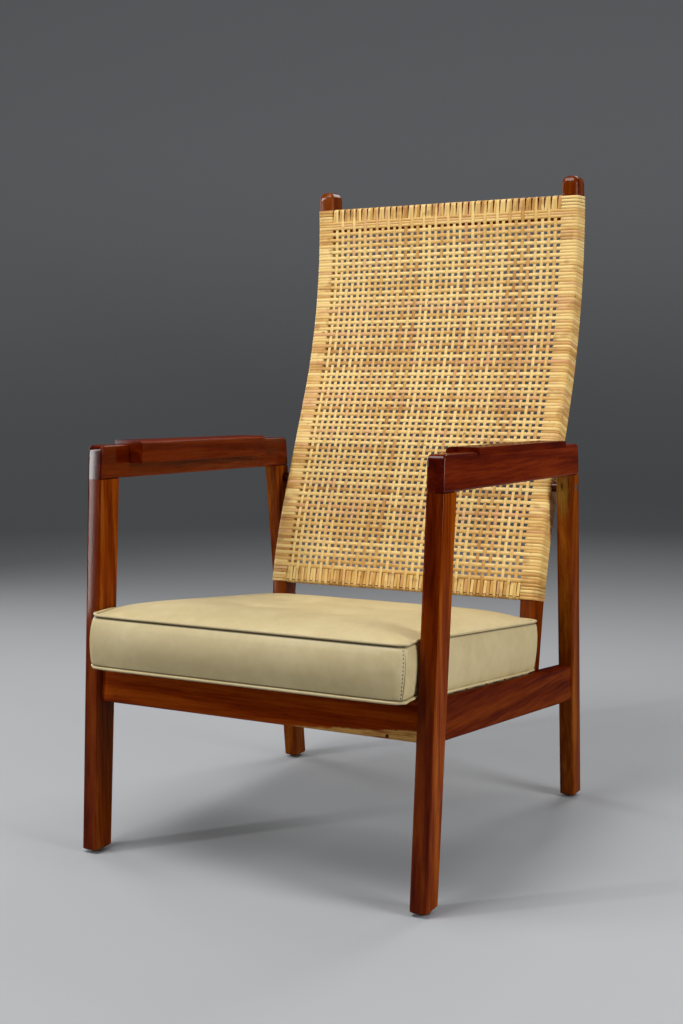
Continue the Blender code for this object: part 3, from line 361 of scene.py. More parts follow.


# Arms: a darker rail over each pair of legs, and an L-shaped pad let into its top and held by dowels.
# Their lacquer is glossier than that of the legs, the side rails and the front rail.

# The arm rails carry painted shade on their forward and backward faces.
for side, turn, depth in (("left", 0.0, 0.62), ("right", RIGHT_SIDE_SHIFT, 0.50)):
    wooden(side + "_arm_rail", GRAIN_Y, (2.9 + turn, 0.3, 1.7), (depth, 0.50), "arm_wood", dark_front=0.8)
    wooden(side + "_arm_pad", GRAIN_Y, (4.2 + turn, 0.6, 2.2), (0.47, 0.43), "arm_wood", gloss=0.30)


# Back frame: two stiles sawn to a double bend, bare at their rounded tops and their tails, and two rails
# tenoned between them. Cane covers all the rest of the wood.

for side, turn in (("left", 0.0), ("right", RIGHT_SIDE_SHIFT)):
    wooden(side + "_back_stile", GRAIN_Z, (5.1 + turn, 0.2, 1.1), (0.74, 0.95))
wooden("back_top_rail", GRAIN_X, (2.6, 0.7, 1.9), (0.7, 1.0))
wooden("back_bottom_rail", GRAIN_X, (3.6, 1.7, 0.3), (0.7, 1.0))


# Cane back. One flat split of cane is woven over and under, strand by strand, and every strand is
# taken round the rails and stiles; extra turns between them close the winding on the wood.

UPRIGHT_WIDTH, CROSSING_WIDTH, BAND_WIDTH, STRAND_THICKNESS = 0.0057, 0.0063, 0.0051, 0.0010
STILE_TURN_WIDTH, RAIL_TURN_WIDTH, RAIL_TURN_THICKNESS = 0.0049, 0.0054, 0.0014
WEAVE_HEIGHT = 0.00045
STILE_INNER, STILE_OUTER = 0.2168, 0.2458
WOOD_FRONT, STILE_BACK, RAIL_BACK = 0.0023, 0.0423, 0.0243
BOTTOM_RAIL, TOP_RAIL = (0.0023, 0.0283), (0.6471, 0.6871)
COLUMNS, COLUMN_PITCH = 37, 0.01155
ROWS, ROW_PITCH, FIRST_ROW = 58, 0.01075, 0.0315
BAND_ROWS, BAND_FROM, BAND_PITCH = 3, 0.6547, 0.0045
LIFT = 0.0009
ON_WOOD, BEHIND_RAIL, BEHIND_STILE = WOOD_FRONT - LIFT, RAIL_BACK + LIFT, STILE_BACK + LIFT
BESIDE_STILE, INSIDE_STILE = STILE_OUTER + LIFT, STILE_INNER - 0.0006
IN_PANEL = 0.0008
RAIL_EDGE, RAIL_BEND = 0.003, 0.0041
STILE_EDGE, STILE_BEND = 0.006, 0.0071
BACK_FOOT, FOOT_LEAN, MIDDLE_LEAN, UPPER_TURN = (0.1464, 0.3465), 11.5, 21.9, 24.3
LOWER_BEND, STRAIGHT, UPPER_BEND, LEAD = 0.1485, 0.2004, 0.3405, 0.10
CANE_SHADES = [(0.32, (0.42, 0.180, 0.036)), (0.45, (0.68, 0.400, 0.110)), (0.62, (0.84, 0.590, 0.220))]
KNUCKLE_BROWN, ROSY, WOUND_BROWN, EDGE_SHADE_BROWN = ((0.16, 0.065, 0.018), (0.60, 0.27, 0.125),
                                                (0.40, 0.185, 0.045), (0.34, 0.16, 0.05))


def back_line():
    """Side view of the back's front face, from LEAD below its foot to LEAD above its top."""
    (y, z), lean = BACK_FOOT, radians(FOOT_LEAN)
    points = [(0, y - LEAD * sin(lean), z - LEAD * cos(lean)), (0, y, z)]
    bends = [(LOWER_BEND, radians(MIDDLE_LEAN - FOOT_LEAN) / LOWER_BEND), (STRAIGHT, 0.0),
             (UPPER_BEND, radians(-UPPER_TURN) / UPPER_BEND), (LEAD, 0.0)]
    steps = 80
    for length, curl in bends:
        for i in range(steps):
            lean += curl * length / steps / 2
            y += length / steps * sin(lean)
            z += length / steps * cos(lean)
            lean += curl * length / steps / 2
            points.append((0, y, z))
    return points


def guide(name, points, woven=None, closed=False):
    """A line of points for a strand, seam or welt to follow; it is removed after use."""
    mesh = bpy.data.meshes.new(name)
    edges = [(i, i + 1) for i in range(len(points) - 1)]
    if closed:
        edges.append((len(points) - 1, 0))
    mesh.from_pydata(points, edges, [])
    if woven:
        mesh.attributes.new("woven", "FLOAT", "POINT").data.foreach_set("value", woven)
    line = bpy.data.objects.new(name, mesh)
    scene.collection.objects.link(line)
    return line


def tree_inputs(tree, sockets):
    """Names the inputs of a Geometry Nodes tree and gives a wire to each."""
    kinds = {"object": "NodeSocketObject", "float": "NodeSocketFloat", "whole": "NodeSocketInt",
             "vector": "NodeSocketVector", "material": "NodeSocketMaterial"}
    for name, kind in sockets.items():
        tree.interface.new_socket(name, in_out="INPUT", socket_type=kinds[kind])
    tree.interface.new_socket("Mesh", in_out="OUTPUT", socket_type="NodeSocketGeometry")
    entry = tree.nodes.new("NodeGroupInput")
    return {name: Wire(tree, entry.outputs[name]) for name in sockets}


def line_of(wire, target):
    """The curve that a guide object holds."""
    held = wire.put("GeometryNodeObjectInfo", {}, {"Object": target}, out="Geometry")
    return wire.put("GeometryNodeMeshToCurve", {}, {0: held})


def joined(wire, x=0.0, y=0.0, z=0.0):
    return wire.put("ShaderNodeCombineXYZ", {}, {0: x, 1: y, 2: z})


def kept(wire, geometry, name, value, kind="FLOAT", domain="POINT"):
    """Stores a value on a geometry under a name that later nodes and the material read."""
    return wire.put("GeometryNodeStoreNamedAttribute", {"data_type": kind, "domain": domain},
                    {"Geometry": geometry, "Name": name, "Value": value})


def recalled(wire, name, kind="FLOAT"):
    return wire.put("GeometryNodeInputNamedAttribute", {"data_type": kind}, {"Name": name})


def chance(wire, low, high, item, seed):
    """A random number for each item, the same in every run."""
    return wire.put("FunctionNodeRandomValue", {"data_type": "FLOAT"},
                    {2: low, 3: high, "ID": item, "Seed": seed}, out=1)


def swept(wire, path, section, scale):
    """A section carried along a path, closed at its ends and shaded smooth."""
    solid = wire.put("GeometryNodeCurveToMesh", {},
                     {"Curve": path, "Profile Curve": section, "Scale": scale, "Fill Caps": True})
    return wire.put("GeometryNodeSetShadeSmooth", {}, {0: solid, "Shade Smooth": True})


def closing(wire, geometry, material):
    """The end of every tree: plain geometry in its own material."""
    whole = wire.put("GeometryNodeRealizeInstances", {}, {0: geometry})
    painted = wire.put("GeometryNodeSetMaterial", {}, {"Geometry": whole, "Material": material})
    wire.put("NodeGroupOutput", {}, {0: painted})


def grown(name, tree, values):
    """Runs a tree and keeps its result as a plain mesh."""
    piece = bpy.data.objects.new(name, bpy.data.meshes.new(name + "_seed"))
    modifier = piece.modifiers.new("grow", "NODES")
    modifier.node_group = tree
    for item in tree.interface.items_tree:
        if item.in_out == "INPUT":
            modifier[item.identifier] = values[item.name]
    scene.collection.objects.link(piece)
    ready = piece.evaluated_get(bpy.context.evaluated_depsgraph_get())
    mesh = bpy.data.meshes.new_from_object(ready)
    piece.modifiers.remove(modifier)
    piece.data = mesh
    return piece


strand_tree = bpy.data.node_groups.new("cane strands", "GeometryNodeTree")
given = tree_inputs(strand_tree, {
    "Path": "object", "Back line": "object", "Section": "object", "Count": "whole", "Start": "vector",
    "Step": "vector", "Flat way": "vector", "Wave way": "vector", "Wave start": "float",
    "Wave pitch": "float", "Wave last": "float", "Wave height": "float", "Alternate": "float",
    "Width": "float", "Thickness": "float", "Wander": "float", "Seed": "whole", "Cane": "material"})
tree = Wire(strand_tree)
spots = tree.put("GeometryNodeMeshLine", {"mode": "OFFSET", "count_mode": "TOTAL"},
                 {"Count": given["Count"], "Start Location": given["Start"], "Offset": given["Step"]})
copies = tree.put("GeometryNodeInstanceOnPoints", {},
                  {"Points": spots, "Instance": line_of(tree, given["Path"])})
copies = kept(tree, copies, "strand", tree.put("GeometryNodeInputIndex"), domain="INSTANCE")
lines = tree.put("GeometryNodeRealizeInstances", {}, {0: copies})
strand = recalled(tree, "strand")
woven = recalled(tree, "woven")
here = tree.put("GeometryNodeInputPosition")
panel = split(tree, here)
flat = split(tree, given["Flat way"])
reach = tree.vector("DOT_PRODUCT", here, given["Wave way"], out=1)
turn = (reach - given["Wave start"]) / given["Wave pitch"]
turn = tree.math("MINIMUM", tree.math("MAXIMUM", turn, 0.0), given["Wave last"])
flip = 1.0 - 2.0 * tree.math("MODULO", strand * given["Alternate"], 2.0)
swing = tree.math("COSINE", turn * pi) * flip * given["Wave height"] * woven
drift = tree.put("ShaderNodeTexNoise", {"noise_dimensions": "4D"},
                 {"Vector": here, "W": strand * 3.7 + given["Seed"], "Scale": 9.0, "Detail": 1.0})
drift = (drift - 0.5) * given["Wander"]
step_off = chance(tree, -0.4, 0.4, strand, given["Seed"])
drift = drift + step_off * given["Wander"] * woven
across = panel + drift * flat
up = panel.output(1) + drift * flat.output(1)
deep = panel.output(2) + swing
on_line = tree.put("GeometryNodeSampleCurve", {"mode": "LENGTH"},
                   {"Curves": line_of(tree, given["Back line"]), "Length": up + LEAD}, out="Position")
foot = split(tree, on_line)
tangent = on_line.output("Tangent")
rise = split(tree, tangent)
world = joined(tree, across, foot.output(1) + deep * rise.output(2),
               foot.output(2) - deep * rise.output(1))
lying = tree.vector("ADD", tree.vector("MULTIPLY", tangent, flat.output(1)), joined(tree, flat))
lines = kept(tree, lines, "lying", lying, "FLOAT_VECTOR")
lines = kept(tree, lines, "tint", chance(tree, 0.0, 1.0, strand, given["Seed"] + 11.0))
lines = tree.put("GeometryNodeSetPosition", {}, {"Geometry": lines, "Position": world})
lines = tree.put("GeometryNodeSetCurveNormal", {"mode": "FREE"},
                 {"Curve": lines, "Normal": recalled(tree, "lying", "FLOAT_VECTOR")})
lines = kept(tree, lines, "along", tree.put("GeometryNodeSplineParameter", out="Length"))
lens = line_of(tree, given["Section"])
lens = kept(tree, lens, "across", split(tree, tree.put("GeometryNodeInputPosition")))
size = joined(tree, given["Width"] / 2.0, given["Thickness"] / 2.0, 1.0)
lens = tree.put("GeometryNodeTransform", {}, {"Geometry": lens, "Scale": size})
plump = chance(tree, 0.92, 1.08, strand, given["Seed"] + 5.0)
closing(tree, swept(tree, lines, lens, plump), given["Cane"])

cane, shader, start = finish_of("split_cane")
tint, along, across = (start.put("ShaderNodeAttribute", {"attribute_name": name}, out="Fac")
                       for name in ("tint", "along", "across"))
fibre = noise(start, joined(start, across * 0.9, along * 3.0, tint * 40.0), 6.0, 3.0, 0.6)
patch = noise(start, joined(start, 0.0, along * 14.0, tint * 90.0), 1.0, 2.0)
shade = 0.36 * fibre + 0.38 * patch + 0.32 * tint
colour = start.put("ShaderNodeValToRGB", {"stops": CANE_SHADES}, {"Fac": shade})
knuckle = noise(start, joined(start, across * 0.25, along * 55.0, tint * 300.0), 1.0, 1.0)
colour = mixed(start, 0.65 * knuckle.between(0.735, 0.80), colour, KNUCKLE_BROWN)
rosy = start.math("FRACT", tint * 7.31).between(0.72, 0.76) * patch.between(0.42, 0.60)
colour = mixed(start, 0.6 * rosy, colour, ROSY)
spot = split(start, object_place(start))
on_stile = start.math("ABSOLUTE", spot).between(0.2155, 0.2175)
on_rail = spot.output(2).between(0.376, 0.373) + spot.output(2).between(0.984, 0.990)
wound = noise(start, joined(start, spot * 30.0, 0.0, spot.output(2) * 42.0), 1.0, 2.0).between(0.54, 0.66)
colour = mixed(start, 0.55 * start.math("MAXIMUM", on_stile, on_rail) * wound, colour, WOUND_BROWN)
# Painted shade: the outer parts of each strand's width are darkened a little.
edge = start.math("ABSOLUTE", across).between(0.55, 1.0)
colour = mixed(start, 0.10 * edge, colour, EDGE_SHADE_BROWN)
feed(shader, colour, "Base Color")
feed(shader, 0.40 + 0.22 * fibre, "Roughness")
bumped(shader, start, fibre, 0.20, 0.0003)
fixed(shader, {"Specular IOR Level": 0.35})


def bend(path, centre, start_angle, end_angle, radius):
    """Rounds a corner of a strand's path, seen from its side."""
    for i in range(4):
        angle = radians(start_angle + (end_angle - start_angle) * i / 3)
        path.append((centre[0] + radius * cos(angle), centre[1] + radius * sin(angle), 0.0))


def round_rail(path, rail, quarter, reach=90):
    """Takes a strand round one edge of a rail: quarter 0 is its upper back edge, 1 the lower back one, 2 the
    lower front one and 3 the upper front one."""
    low, high = rail
    up = high - RAIL_EDGE if quarter in (0, 3) else low + RAIL_EDGE
    deep = RAIL_BACK - RAIL_EDGE if quarter in (0, 1) else WOOD_FRONT + RAIL_EDGE
    bend(path, (up, deep), 90 * quarter, 90 * quarter + reach, RAIL_BEND)


def strands(name, path, nodes, **values):
    """Repeats one path over the back and stands for the cane nodes named."""
    line = guide(name + "_path", [p[:3] for p in path], [p[3] for p in path])
    chosen = {"Path": line, "Back line": back_guide, "Section": section_guide,
              "Flat way": (1.0, 0.0, 0.0), "Wave way": (0.0, 1.0, 0.0), "Wave start": FIRST_ROW,
              "Wave pitch": ROW_PITCH, "Wave last": float(ROWS), "Wave height": 0.0, "Alternate": 1.0,
              "Width": UPRIGHT_WIDTH, "Thickness": STRAND_THICKNESS, "Wander": 0.0009, "Cane": cane}
    chosen.update(values)
    piece = grown(name, strand_tree, chosen)
    bpy.data.objects.remove(line)
    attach(piece, "frame")
    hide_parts(*nodes)


SECTION = [(1, 0), (0.95, 0.72), (0.74, 1), (-0.74, 1), (-0.95, 0.72), (-1, 0), (-0.90, -1), (0.90, -1)]
back_guide = guide("back_line", back_line())
section_guide = guide("strand_section", [(x, y, 0) for x, y in SECTION], closed=True)

# Upright strands: once round the bottom rail, up the panel and once round the top rail.
upright = [(BOTTOM_RAIL[1] + LIFT, 0.0065, 0.0), (BOTTOM_RAIL[1] + RAIL_BEND - RAIL_EDGE, 0.013, 0.0)]
round_rail(upright, BOTTOM_RAIL, 0)
upright.append((0.012, BEHIND_RAIL, 0.0))
round_rail(upright, BOTTOM_RAIL, 1)
round_rail(upright, BOTTOM_RAIL, 2)
upright += [(0.012, ON_WOOD, 0.0), (0.020, ON_WOOD, 0.0), (0.0255, ON_WOOD, 0.15)]
for i in range(4 * ROWS + 1):
    upright.append((FIRST_ROW + ROW_PITCH * i / 4, IN_PANEL, 1.0))
upright += [(BAND_FROM + 0.0055, IN_PANEL, 1.0), (BAND_FROM + 0.0092, IN_PANEL, 1.0),
            (0.6685, ON_WOOD, 0.35), (0.6725, ON_WOOD, 0.0), (0.679, ON_WOOD, 0.0)]
round_rail(upright, TOP_RAIL, 3)
round_rail(upright, TOP_RAIL, 0)
upright.append((0.670, BEHIND_RAIL, 0.0))
round_rail(upright, TOP_RAIL, 1)
upright.append((TOP_RAIL[0] - RAIL_BEND + RAIL_EDGE, 0.010, 0.0))
first_column = -COLUMN_PITCH * (COLUMNS - 1) / 2
strands("cane_uprights", [(0.0, *p) for p in upright], ["woven_cane_panel"], Count=COLUMNS,
        Start=(first_column, 0.0, 0.0), Step=(COLUMN_PITCH, 0.0, 0.0), Seed=3, Wander=0.0012,
        **{"Wave height": WEAVE_HEIGHT})

# Cross strands: round one stile from its inner face, through the panel and round the other stile.
half = [(INSIDE_STILE, 0.0085, 0.0), (INSIDE_STILE, 0.022, 0.0), (INSIDE_STILE, STILE_BACK - 0.004, 0.0),
        (STILE_INNER + 0.001, STILE_BACK + 0.0004, 0.0), (STILE_INNER + 0.004, BEHIND_STILE, 0.0),
        (STILE_OUTER - 0.008, BEHIND_STILE, 0.0)]
bend(half, (STILE_OUTER - STILE_EDGE, STILE_BACK - STILE_EDGE), 90, 0, STILE_BEND)
half += [(BESIDE_STILE, 0.028, 0.0), (BESIDE_STILE, 0.016, 0.0)]
bend(half, (STILE_OUTER - STILE_EDGE, WOOD_FRONT + STILE_EDGE), 0, -90, STILE_BEND)
turn_path = list(half)
half += [(STILE_INNER + 0.010, ON_WOOD, 0.0), (STILE_INNER + 0.004, ON_WOOD, 0.0),
         (STILE_INNER - 0.001, ON_WOOD - 0.0001, 0.2)]
inside = [(first_column + COLUMN_PITCH * i / 4, IN_PANEL, 1.0) for i in range(4 * (COLUMNS - 1) + 1)]
across_path = [(x, 0.0, d, w) for x, d, w in half]
across_path += [(-x, 0.0, d, w) for x, d, w in inside + half[::-1]]
crossing = {"Flat way": (0.0, 1.0, 0.0), "Wave way": (1.0, 0.0, 0.0), "Wave start": first_column,
            "Wave pitch": COLUMN_PITCH, "Wave last": float(COLUMNS - 1), "Wave height": -WEAVE_HEIGHT}
strands("cane_crossings", across_path, ["woven_cane_panel"], Count=ROWS, Start=(0.0, FIRST_ROW, 0.0),
        Step=(0.0, ROW_PITCH, 0.0), Seed=7, Width=CROSSING_WIDTH, **crossing)
strands("cane_top_band", across_path, ["woven_cane_panel"], Count=BAND_ROWS, Start=(0.0, BAND_FROM, 0.0),
        Step=(0.0, BAND_PITCH, 0.0), Seed=8, Alternate=0.0, Width=BAND_WIDTH, Wander=0.0002, **crossing)

# Extra turns on the stiles: one between every two crossings, and close ones above and below them.
turn_path += [(STILE_INNER + 0.010, ON_WOOD, 0.0), (STILE_INNER + 0.002, ON_WOOD, 0.0),
              (STILE_INNER - 0.0004, ON_WOOD + 0.002, 0.0), (INSIDE_STILE, ON_WOOD + 0.006, 0.0)]
for side, sign in (("left", 1), ("right", -1)):
    turn = [(sign * x, 0.0, d, w) for x, d, w in turn_path]
    for place_name, count, first, pitch, seed in (("", ROWS, FIRST_ROW + ROW_PITCH / 2, ROW_PITCH, 21),
                                                  ("_foot", 5, 0.0040, 0.00537, 31),
                                                  ("_head", 4, 0.6690, 0.0054, 41)):
        strands(f"{side}_stile{place_name}_turns", turn, [side + "_stile_wrap"], Count=count,
                Start=(0.0, first, 0.0), Step=(0.0, pitch, 0.0), Seed=seed + sign, Wander=0.0004,
                Width=STILE_TURN_WIDTH, **{"Flat way": (0.0, 1.0, 0.0)})

# Extra turns on the rails, between the uprights; those of the top rail start behind the band.
for place_name, rail, lean, seed in (("bottom", BOTTOM_RAIL, 0.0006, 51), ("top", TOP_RAIL, 0.0022, 61)):
    low, high = rail
    middle = (low + high) / 2
    if place_name == "bottom":
        ring = [(low + 0.004, ON_WOOD, 0.0), (middle, ON_WOOD, 0.0)]
    else:
        ring = [(BAND_FROM + 0.004, ON_WOOD + 0.0004, 0.0), (BAND_FROM + 0.011, ON_WOOD, 0.0)]
    ring.append((high - 0.004, ON_WOOD, 0.0))
    round_rail(ring, rail, 3)
    round_rail(ring, rail, 0)
    ring.append((middle, BEHIND_RAIL, 0.0))
    round_rail(ring, rail, 1)
    if place_name == "bottom":
        round_rail(ring, rail, 2, 82)
    ring = [(lean * (s - middle) / (high - middle) if d < 0.01 else 0.0, s, d, w) for s, d, w in ring]
    strands(place_name + "_rail_turns", ring, [place_name + "_rail_wrap"], Count=COLUMNS + 1,
            Start=(first_column - COLUMN_PITCH / 2 + 0.0004, 0.0, 0.0), Step=(COLUMN_PITCH, 0.0, 0.0),
            Seed=seed, Wander=0.0003, Width=RAIL_TURN_WIDTH, Thickness=RAIL_TURN_THICKNESS)
bpy.data.objects.remove(back_guide)
bpy.data.objects.remove(section_guide)


# Seat straps: rubber webbing, five strips with ribbed faces laid in the rebate of the side rails.
# Each end is held down by one domed brass tack.

SEAT_SLOPE = radians(5.65)
SEAT_ALONG = Vector((0, cos(SEAT_SLOPE), -sin(SEAT_SLOPE)))
SEAT_UP = Vector((0, sin(SEAT_SLOPE), cos(SEAT_SLOPE)))
STRAPS, STRAP_THICKNESS, STRAP_STEPS = 5, 0.0030, 24
HALF_RIBS, RIB_HEIGHT, RIBS_END = 14, 0.00012, 0.93
WEBBING_SHADES = (0.030, 0.024, 0.018), (0.125, 0.098, 0.066)
BRASS_SHADES = (0.50, 0.33, 0.10), (0.24, 0.14, 0.045)

webbing, shader, start = finish_of("rubber_webbing")
place = object_place(start)
spot = split(start, place)
weft = start.math("SINE", spot * 2600.0) * 0.5 + 0.5
warp = start.math("SINE", spot.output(1) * 3600.0) * 0.5 + 0.5
dust = noise(start, place, 40.0, 4.0)
weave = weft * warp
feed(shader, mixed(start, 0.5 * dust + 0.4 * weave, *WEBBING_SHADES), "Base Color")
feed(shader, 0.62 + 0.25 * dust, "Roughness")
bumped(shader, start, weave, 0.5, 0.0004)

for number in range(1, STRAPS + 1):
    node = f"seat_strap_{number}"
    low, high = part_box(node)
    centre = (low + high) / 2
    width = (high.y - low.y - STRAP_THICKNESS * sin(SEAT_SLOPE)) / cos(SEAT_SLOPE)
    face_line = []
    for i in range(2 * HALF_RIBS + 1):
        t = -1 + i / HALF_RIBS
        rib = RIB_HEIGHT * cos(HALF_RIBS * pi * t) if abs(t) < RIBS_END else 0.0
        full = STRAP_THICKNESS / 2 * (1 - abs(t) ** 14) ** 0.5 if abs(t) < 1 else 0.0
        face_line.append((t * width / 2, full + rib))
    outline = face_line + [(a, -b) for a, b in reversed(face_line[1:-1])]
    strip = bmesh.new()
    rows = []
    for i in range(STRAP_STEPS + 1):
        x = low.x + (high.x - low.x) * i / STRAP_STEPS
        middle = Vector((x, centre.y, centre.z))
        rows.append([strip.verts.new(middle + a * SEAT_ALONG + b * SEAT_UP) for a, b in outline])
    for one, two in zip(rows, rows[1:]):
        for k in range(len(outline)):
            strip.faces.new((one[k - 1], one[k], two[k], two[k - 1]))
    strip.faces.new(rows[0])
    strip.faces.new(list(reversed(rows[-1])))
    bmesh.ops.recalc_face_normals(strip, faces=strip.faces[:])
    for face in strip.faces:
        face.smooth = len(face.verts) == 4
    piece = piece_of(strip, node + "_webbing", webbing)
    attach(piece, "frame")
    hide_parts(node)


def worn(name, shades, scale, detail, rough, stretch=(1, 1, 1), metal=0.0, relief=0.0):
    """A finish that one noise varies: its colour between two shades, its roughness and its relief."""
    material, shader, start = finish_of(name)
    wear = noise(start, stretched(start, object_place(start), stretch), scale, detail)
    feed(shader, mixed(start, wear, *shades), "Base Color")
    least, more = rough
    feed(shader, least + more * wear, "Roughness")
    fixed(shader, {"Metallic": metal})
    if relief:
        bumped(shader, start, wear, relief, 0.0003)
    return material


brass = worn("old_brass", BRASS_SHADES, 320.0, 3.0, (0.24, 0.3), metal=1.0)
for side in ("left", "right"):
    for number in range(1, STRAPS + 1):
        dressed(f"{side}_strap_tack_{number}", brass, "_brass", 60)


# Seat cushion: a foam-filled case of pale leather with a boxing strip, sewn through at four points and
# swelled by a cloth simulation. A thin welt runs along the top and bottom seams, and the boxing is lapped
# and stitched at one corner. It lies loose on the straps.

CUSHION_ORIGIN = Vector((0.0, -0.11525, 0.26518))
HALF_WIDTH, HALF_DEPTH, BOXING, CROWN = 0.2528, 0.2497, 0.0770, 0.0180
FRONT_DROOP, DROOP_FROM, DROOP_TO, SIDE_SETTLE = 0.0055, 0.190, 0.256, 0.0024
REAR_SWELL, FRONT_SWELL, OVERHANG = 0.0065, 0.0030, 0.0075
CORNER_RADIUS, CORNER_NIP, LEFT_FRONT_NIP = 0.0140, 0.0060, 0.0015
BOXING_BELLY, FRONT_BELLY, TUFT_DEPTH, TUFT_SPREAD = 0.0030, 0.0070, 0.0130, 0.036
WELT_RADIUS, WELT_STAND, WELT_INSET = 0.0021, 0.0012, 0.0028
TUFTS = [(x, y) for x in (-0.0675, 0.0675) for y in (-0.0775, 0.0775)]
CASE_STEPS, BOXING_STEPS, WELT_STEPS, TOP_SINK = 64, 10, 160, 0.0015
STUFFING_FRAMES, MOST_SWELL, MOST_SIDE_SWELL = 20, 0.0055, 0.0015
AHEAD_OF_LEGS, WIDEST_AHEAD = -0.274, 0.2566
LEATHER_SHADES = (0.575, 0.460, 0.235), (0.660, 0.545, 0.300)
PIT_BROWN, SEAM_SHADOW_BROWN = (0.30, 0.22, 0.10), (0.060, 0.050, 0.026)
LINEN_SHADES = (0.070, 0.054, 0.026), (0.150, 0.118, 0.060)


def eased(value, low, high):
    share = min(max((value - low) / (high - low), 0.0), 1.0)
    return share * share * (3 - 2 * share)


def on_seat(across, along, up):
    """From the cushion's own directions to the world. The front that overhangs the rail droops, and the
    lower edge at the sides settles on the rails."""
    droop = FRONT_DROOP * eased(-along, DROOP_FROM, DROOP_TO)
    droop += (SIDE_SETTLE * eased(along, -0.200, -0.175) * eased(abs(across), 0.225, 0.250)
              * eased(-up, -0.03, 0.0))
    return CUSHION_ORIGIN + Vector((across, 0, 0)) + along * SEAT_ALONG + (up - droop) * SEAT_UP


def plan(a, b, inset=0.0):
    """Plan of the seams: the foam is nipped between the front legs, swells behind and before them, and its
    corners are rounded."""
    free = REAR_SWELL * eased(b, -0.68, -0.42) + FRONT_SWELL * eased(-b, 0.89, 0.97)
    nip = LEFT_FRONT_NIP if b < 0 < a else CORNER_NIP
    side = HALF_WIDTH + free - nip * abs(b) ** 12 - inset
    end = HALF_DEPTH - 0.0012 * (1 - a * a) - nip * abs(a) ** 12 - inset
    if b < 0:
        end += OVERHANG
    ring = max(abs(a), abs(b))
    past_side = abs(a) * side - ring * (side - CORNER_RADIUS)
    past_end = abs(b) * end - ring * (end - CORNER_RADIUS)
    if ring == 0.0 or past_side <= 0.0 or past_end <= 0.0:
        return a * side, b * end
    radius = ring * CORNER_RADIUS
    turn = past_end / (2 * radius) if abs(a) == ring else 1 - past_side / (2 * radius)
    across = ring * side - radius + radius * cos(turn * pi / 2)
    along = ring * end - radius + radius * sin(turn * pi / 2)
    return (across if a > 0 else -across), (along if b > 0 else -along)


def belly(a, b):
    """The boxing bellies out in front, where nothing holds it, and stays straighter elsewhere."""
    return BOXING_BELLY + FRONT_BELLY * (1 - eased(b, -1.0, -0.97)) * (1 - abs(a) ** 6)


def crown(a, b):
    across, along = plan(a, b)
    height = BOXING + CROWN * (1 - a ** 8) * (1 - b ** 8)
    for x, y in TUFTS:
        height -= TUFT_DEPTH / (1 + ((across - x) ** 2 + (along - y) ** 2) / TUFT_SPREAD ** 2) ** 2
    return height


def edge_round(count):
    """Places all round the edge of the plan, from the front right corner along the front."""
    steps = [-1 + 2 * i / count for i in range(count)]
    return ([(t, -1) for t in steps] + [(1, t) for t in steps]
            + [(-t, 1) for t in steps] + [(-1, -t) for t in steps])


leather, shader, start = finish_of("pale_leather")
place = object_place(start)
cloud = noise(start, place, 7.0, 4.0, 0.55, 0.4)
mottle = noise(start, place, 55.0, 3.0)
grain = start.put("ShaderNodeTexVoronoi", {"feature": "DISTANCE_TO_EDGE"}, {"Vector": place, "Scale": 620.0})
crease = noise(start, stretched(start, place, (1.0, 1.6, 1.0)), 30.0, 4.0, 0.55, 1.0)
pit = grain.between(0.0, 0.16)
colour = mixed(start, (0.55 * cloud + 0.45 * mottle).between(0.32, 0.68), *LEATHER_SHADES)
colour = mixed(start, 0.16 * (1.0 - pit), colour, PIT_BROWN)
spot = split(start, place)
back = spot.output(1) - CUSHION_ORIGIN.y
high = spot.output(2) - CUSHION_ORIGIN.z
droop = (high * sin(SEAT_SLOPE) - back * cos(SEAT_SLOPE)).between(DROOP_FROM, DROOP_TO)
high = back * sin(SEAT_SLOPE) + high * cos(SEAT_SLOPE) + droop * FRONT_DROOP
# Painted shadow: a dark line just under the top welt, and at the front another just above the bottom welt.
seam = high.between(BOXING - 0.0056, BOXING - 0.0036) * high.between(BOXING - 0.0010, BOXING - 0.0022)
seam = seam + high.between(0.0040, 0.0050) * high.between(0.0072, 0.0056) * droop
colour = mixed(start, 0.80 * seam, colour, SEAM_SHADOW_BROWN)
feed(shader, colour, "Base Color")
feed(shader, 0.36 + 0.14 * mottle + 0.10 * (1.0 - pit), "Roughness")
bumped(shader, start, 0.50 * pit + 0.45 * crease + 0.25 * mottle, 0.20, 0.0008)
fixed(shader, {"Specular IOR Level": 0.45})

case = bmesh.new()
n = CASE_STEPS
spread = [-1 + 2 * i / n for i in range(n + 1)]
grid = [[case.verts.new(on_seat(*plan(a, b), crown(a, b) - TOP_SINK)) for a in spread] for b in spread]
base = [[case.verts.new(on_seat(*plan(a, b), 0.0)) for a in spread] for b in spread]
for j in range(n):
    for i in range(n):
        case.faces.new((grid[j][i], grid[j][i + 1], grid[j + 1][i + 1], grid[j + 1][i]))
        case.faces.new((base[j][i], base[j + 1][i], base[j + 1][i + 1], base[j][i + 1]))


def rim(sheet):
    """The outer points of a sheet, in the order of edge_round."""
    return [sheet[round((b + 1) * n / 2)][round((a + 1) * n / 2)] for a, b in edge_round(n)]


upper = rim(grid)
for level in range(1, BOXING_STEPS + 1):
    share = 1 - level / BOXING_STEPS
    bulge = 4 * share * (1 - share) * (0.70 + 0.60 * share)
    lower = rim(base)
    if level < BOXING_STEPS:
        lower = []
        for a, b in edge_round(n):
            across_at, along_at = plan(a, b, -bulge * belly(a, b))
            lower.append(case.verts.new(on_seat(across_at, along_at, BOXING * share)))
    for k in range(len(upper)):
        m = (k + 1) % len(upper)
        case.faces.new((upper[k], lower[k], lower[m], upper[m]))
    upper = lower
bmesh.ops.recalc_face_normals(case, faces=case.faces[:])
for face in case.faces:
    face.smooth = True
cushion_case = piece_of(case, "cushion_case")
case_mesh = cushion_case.data


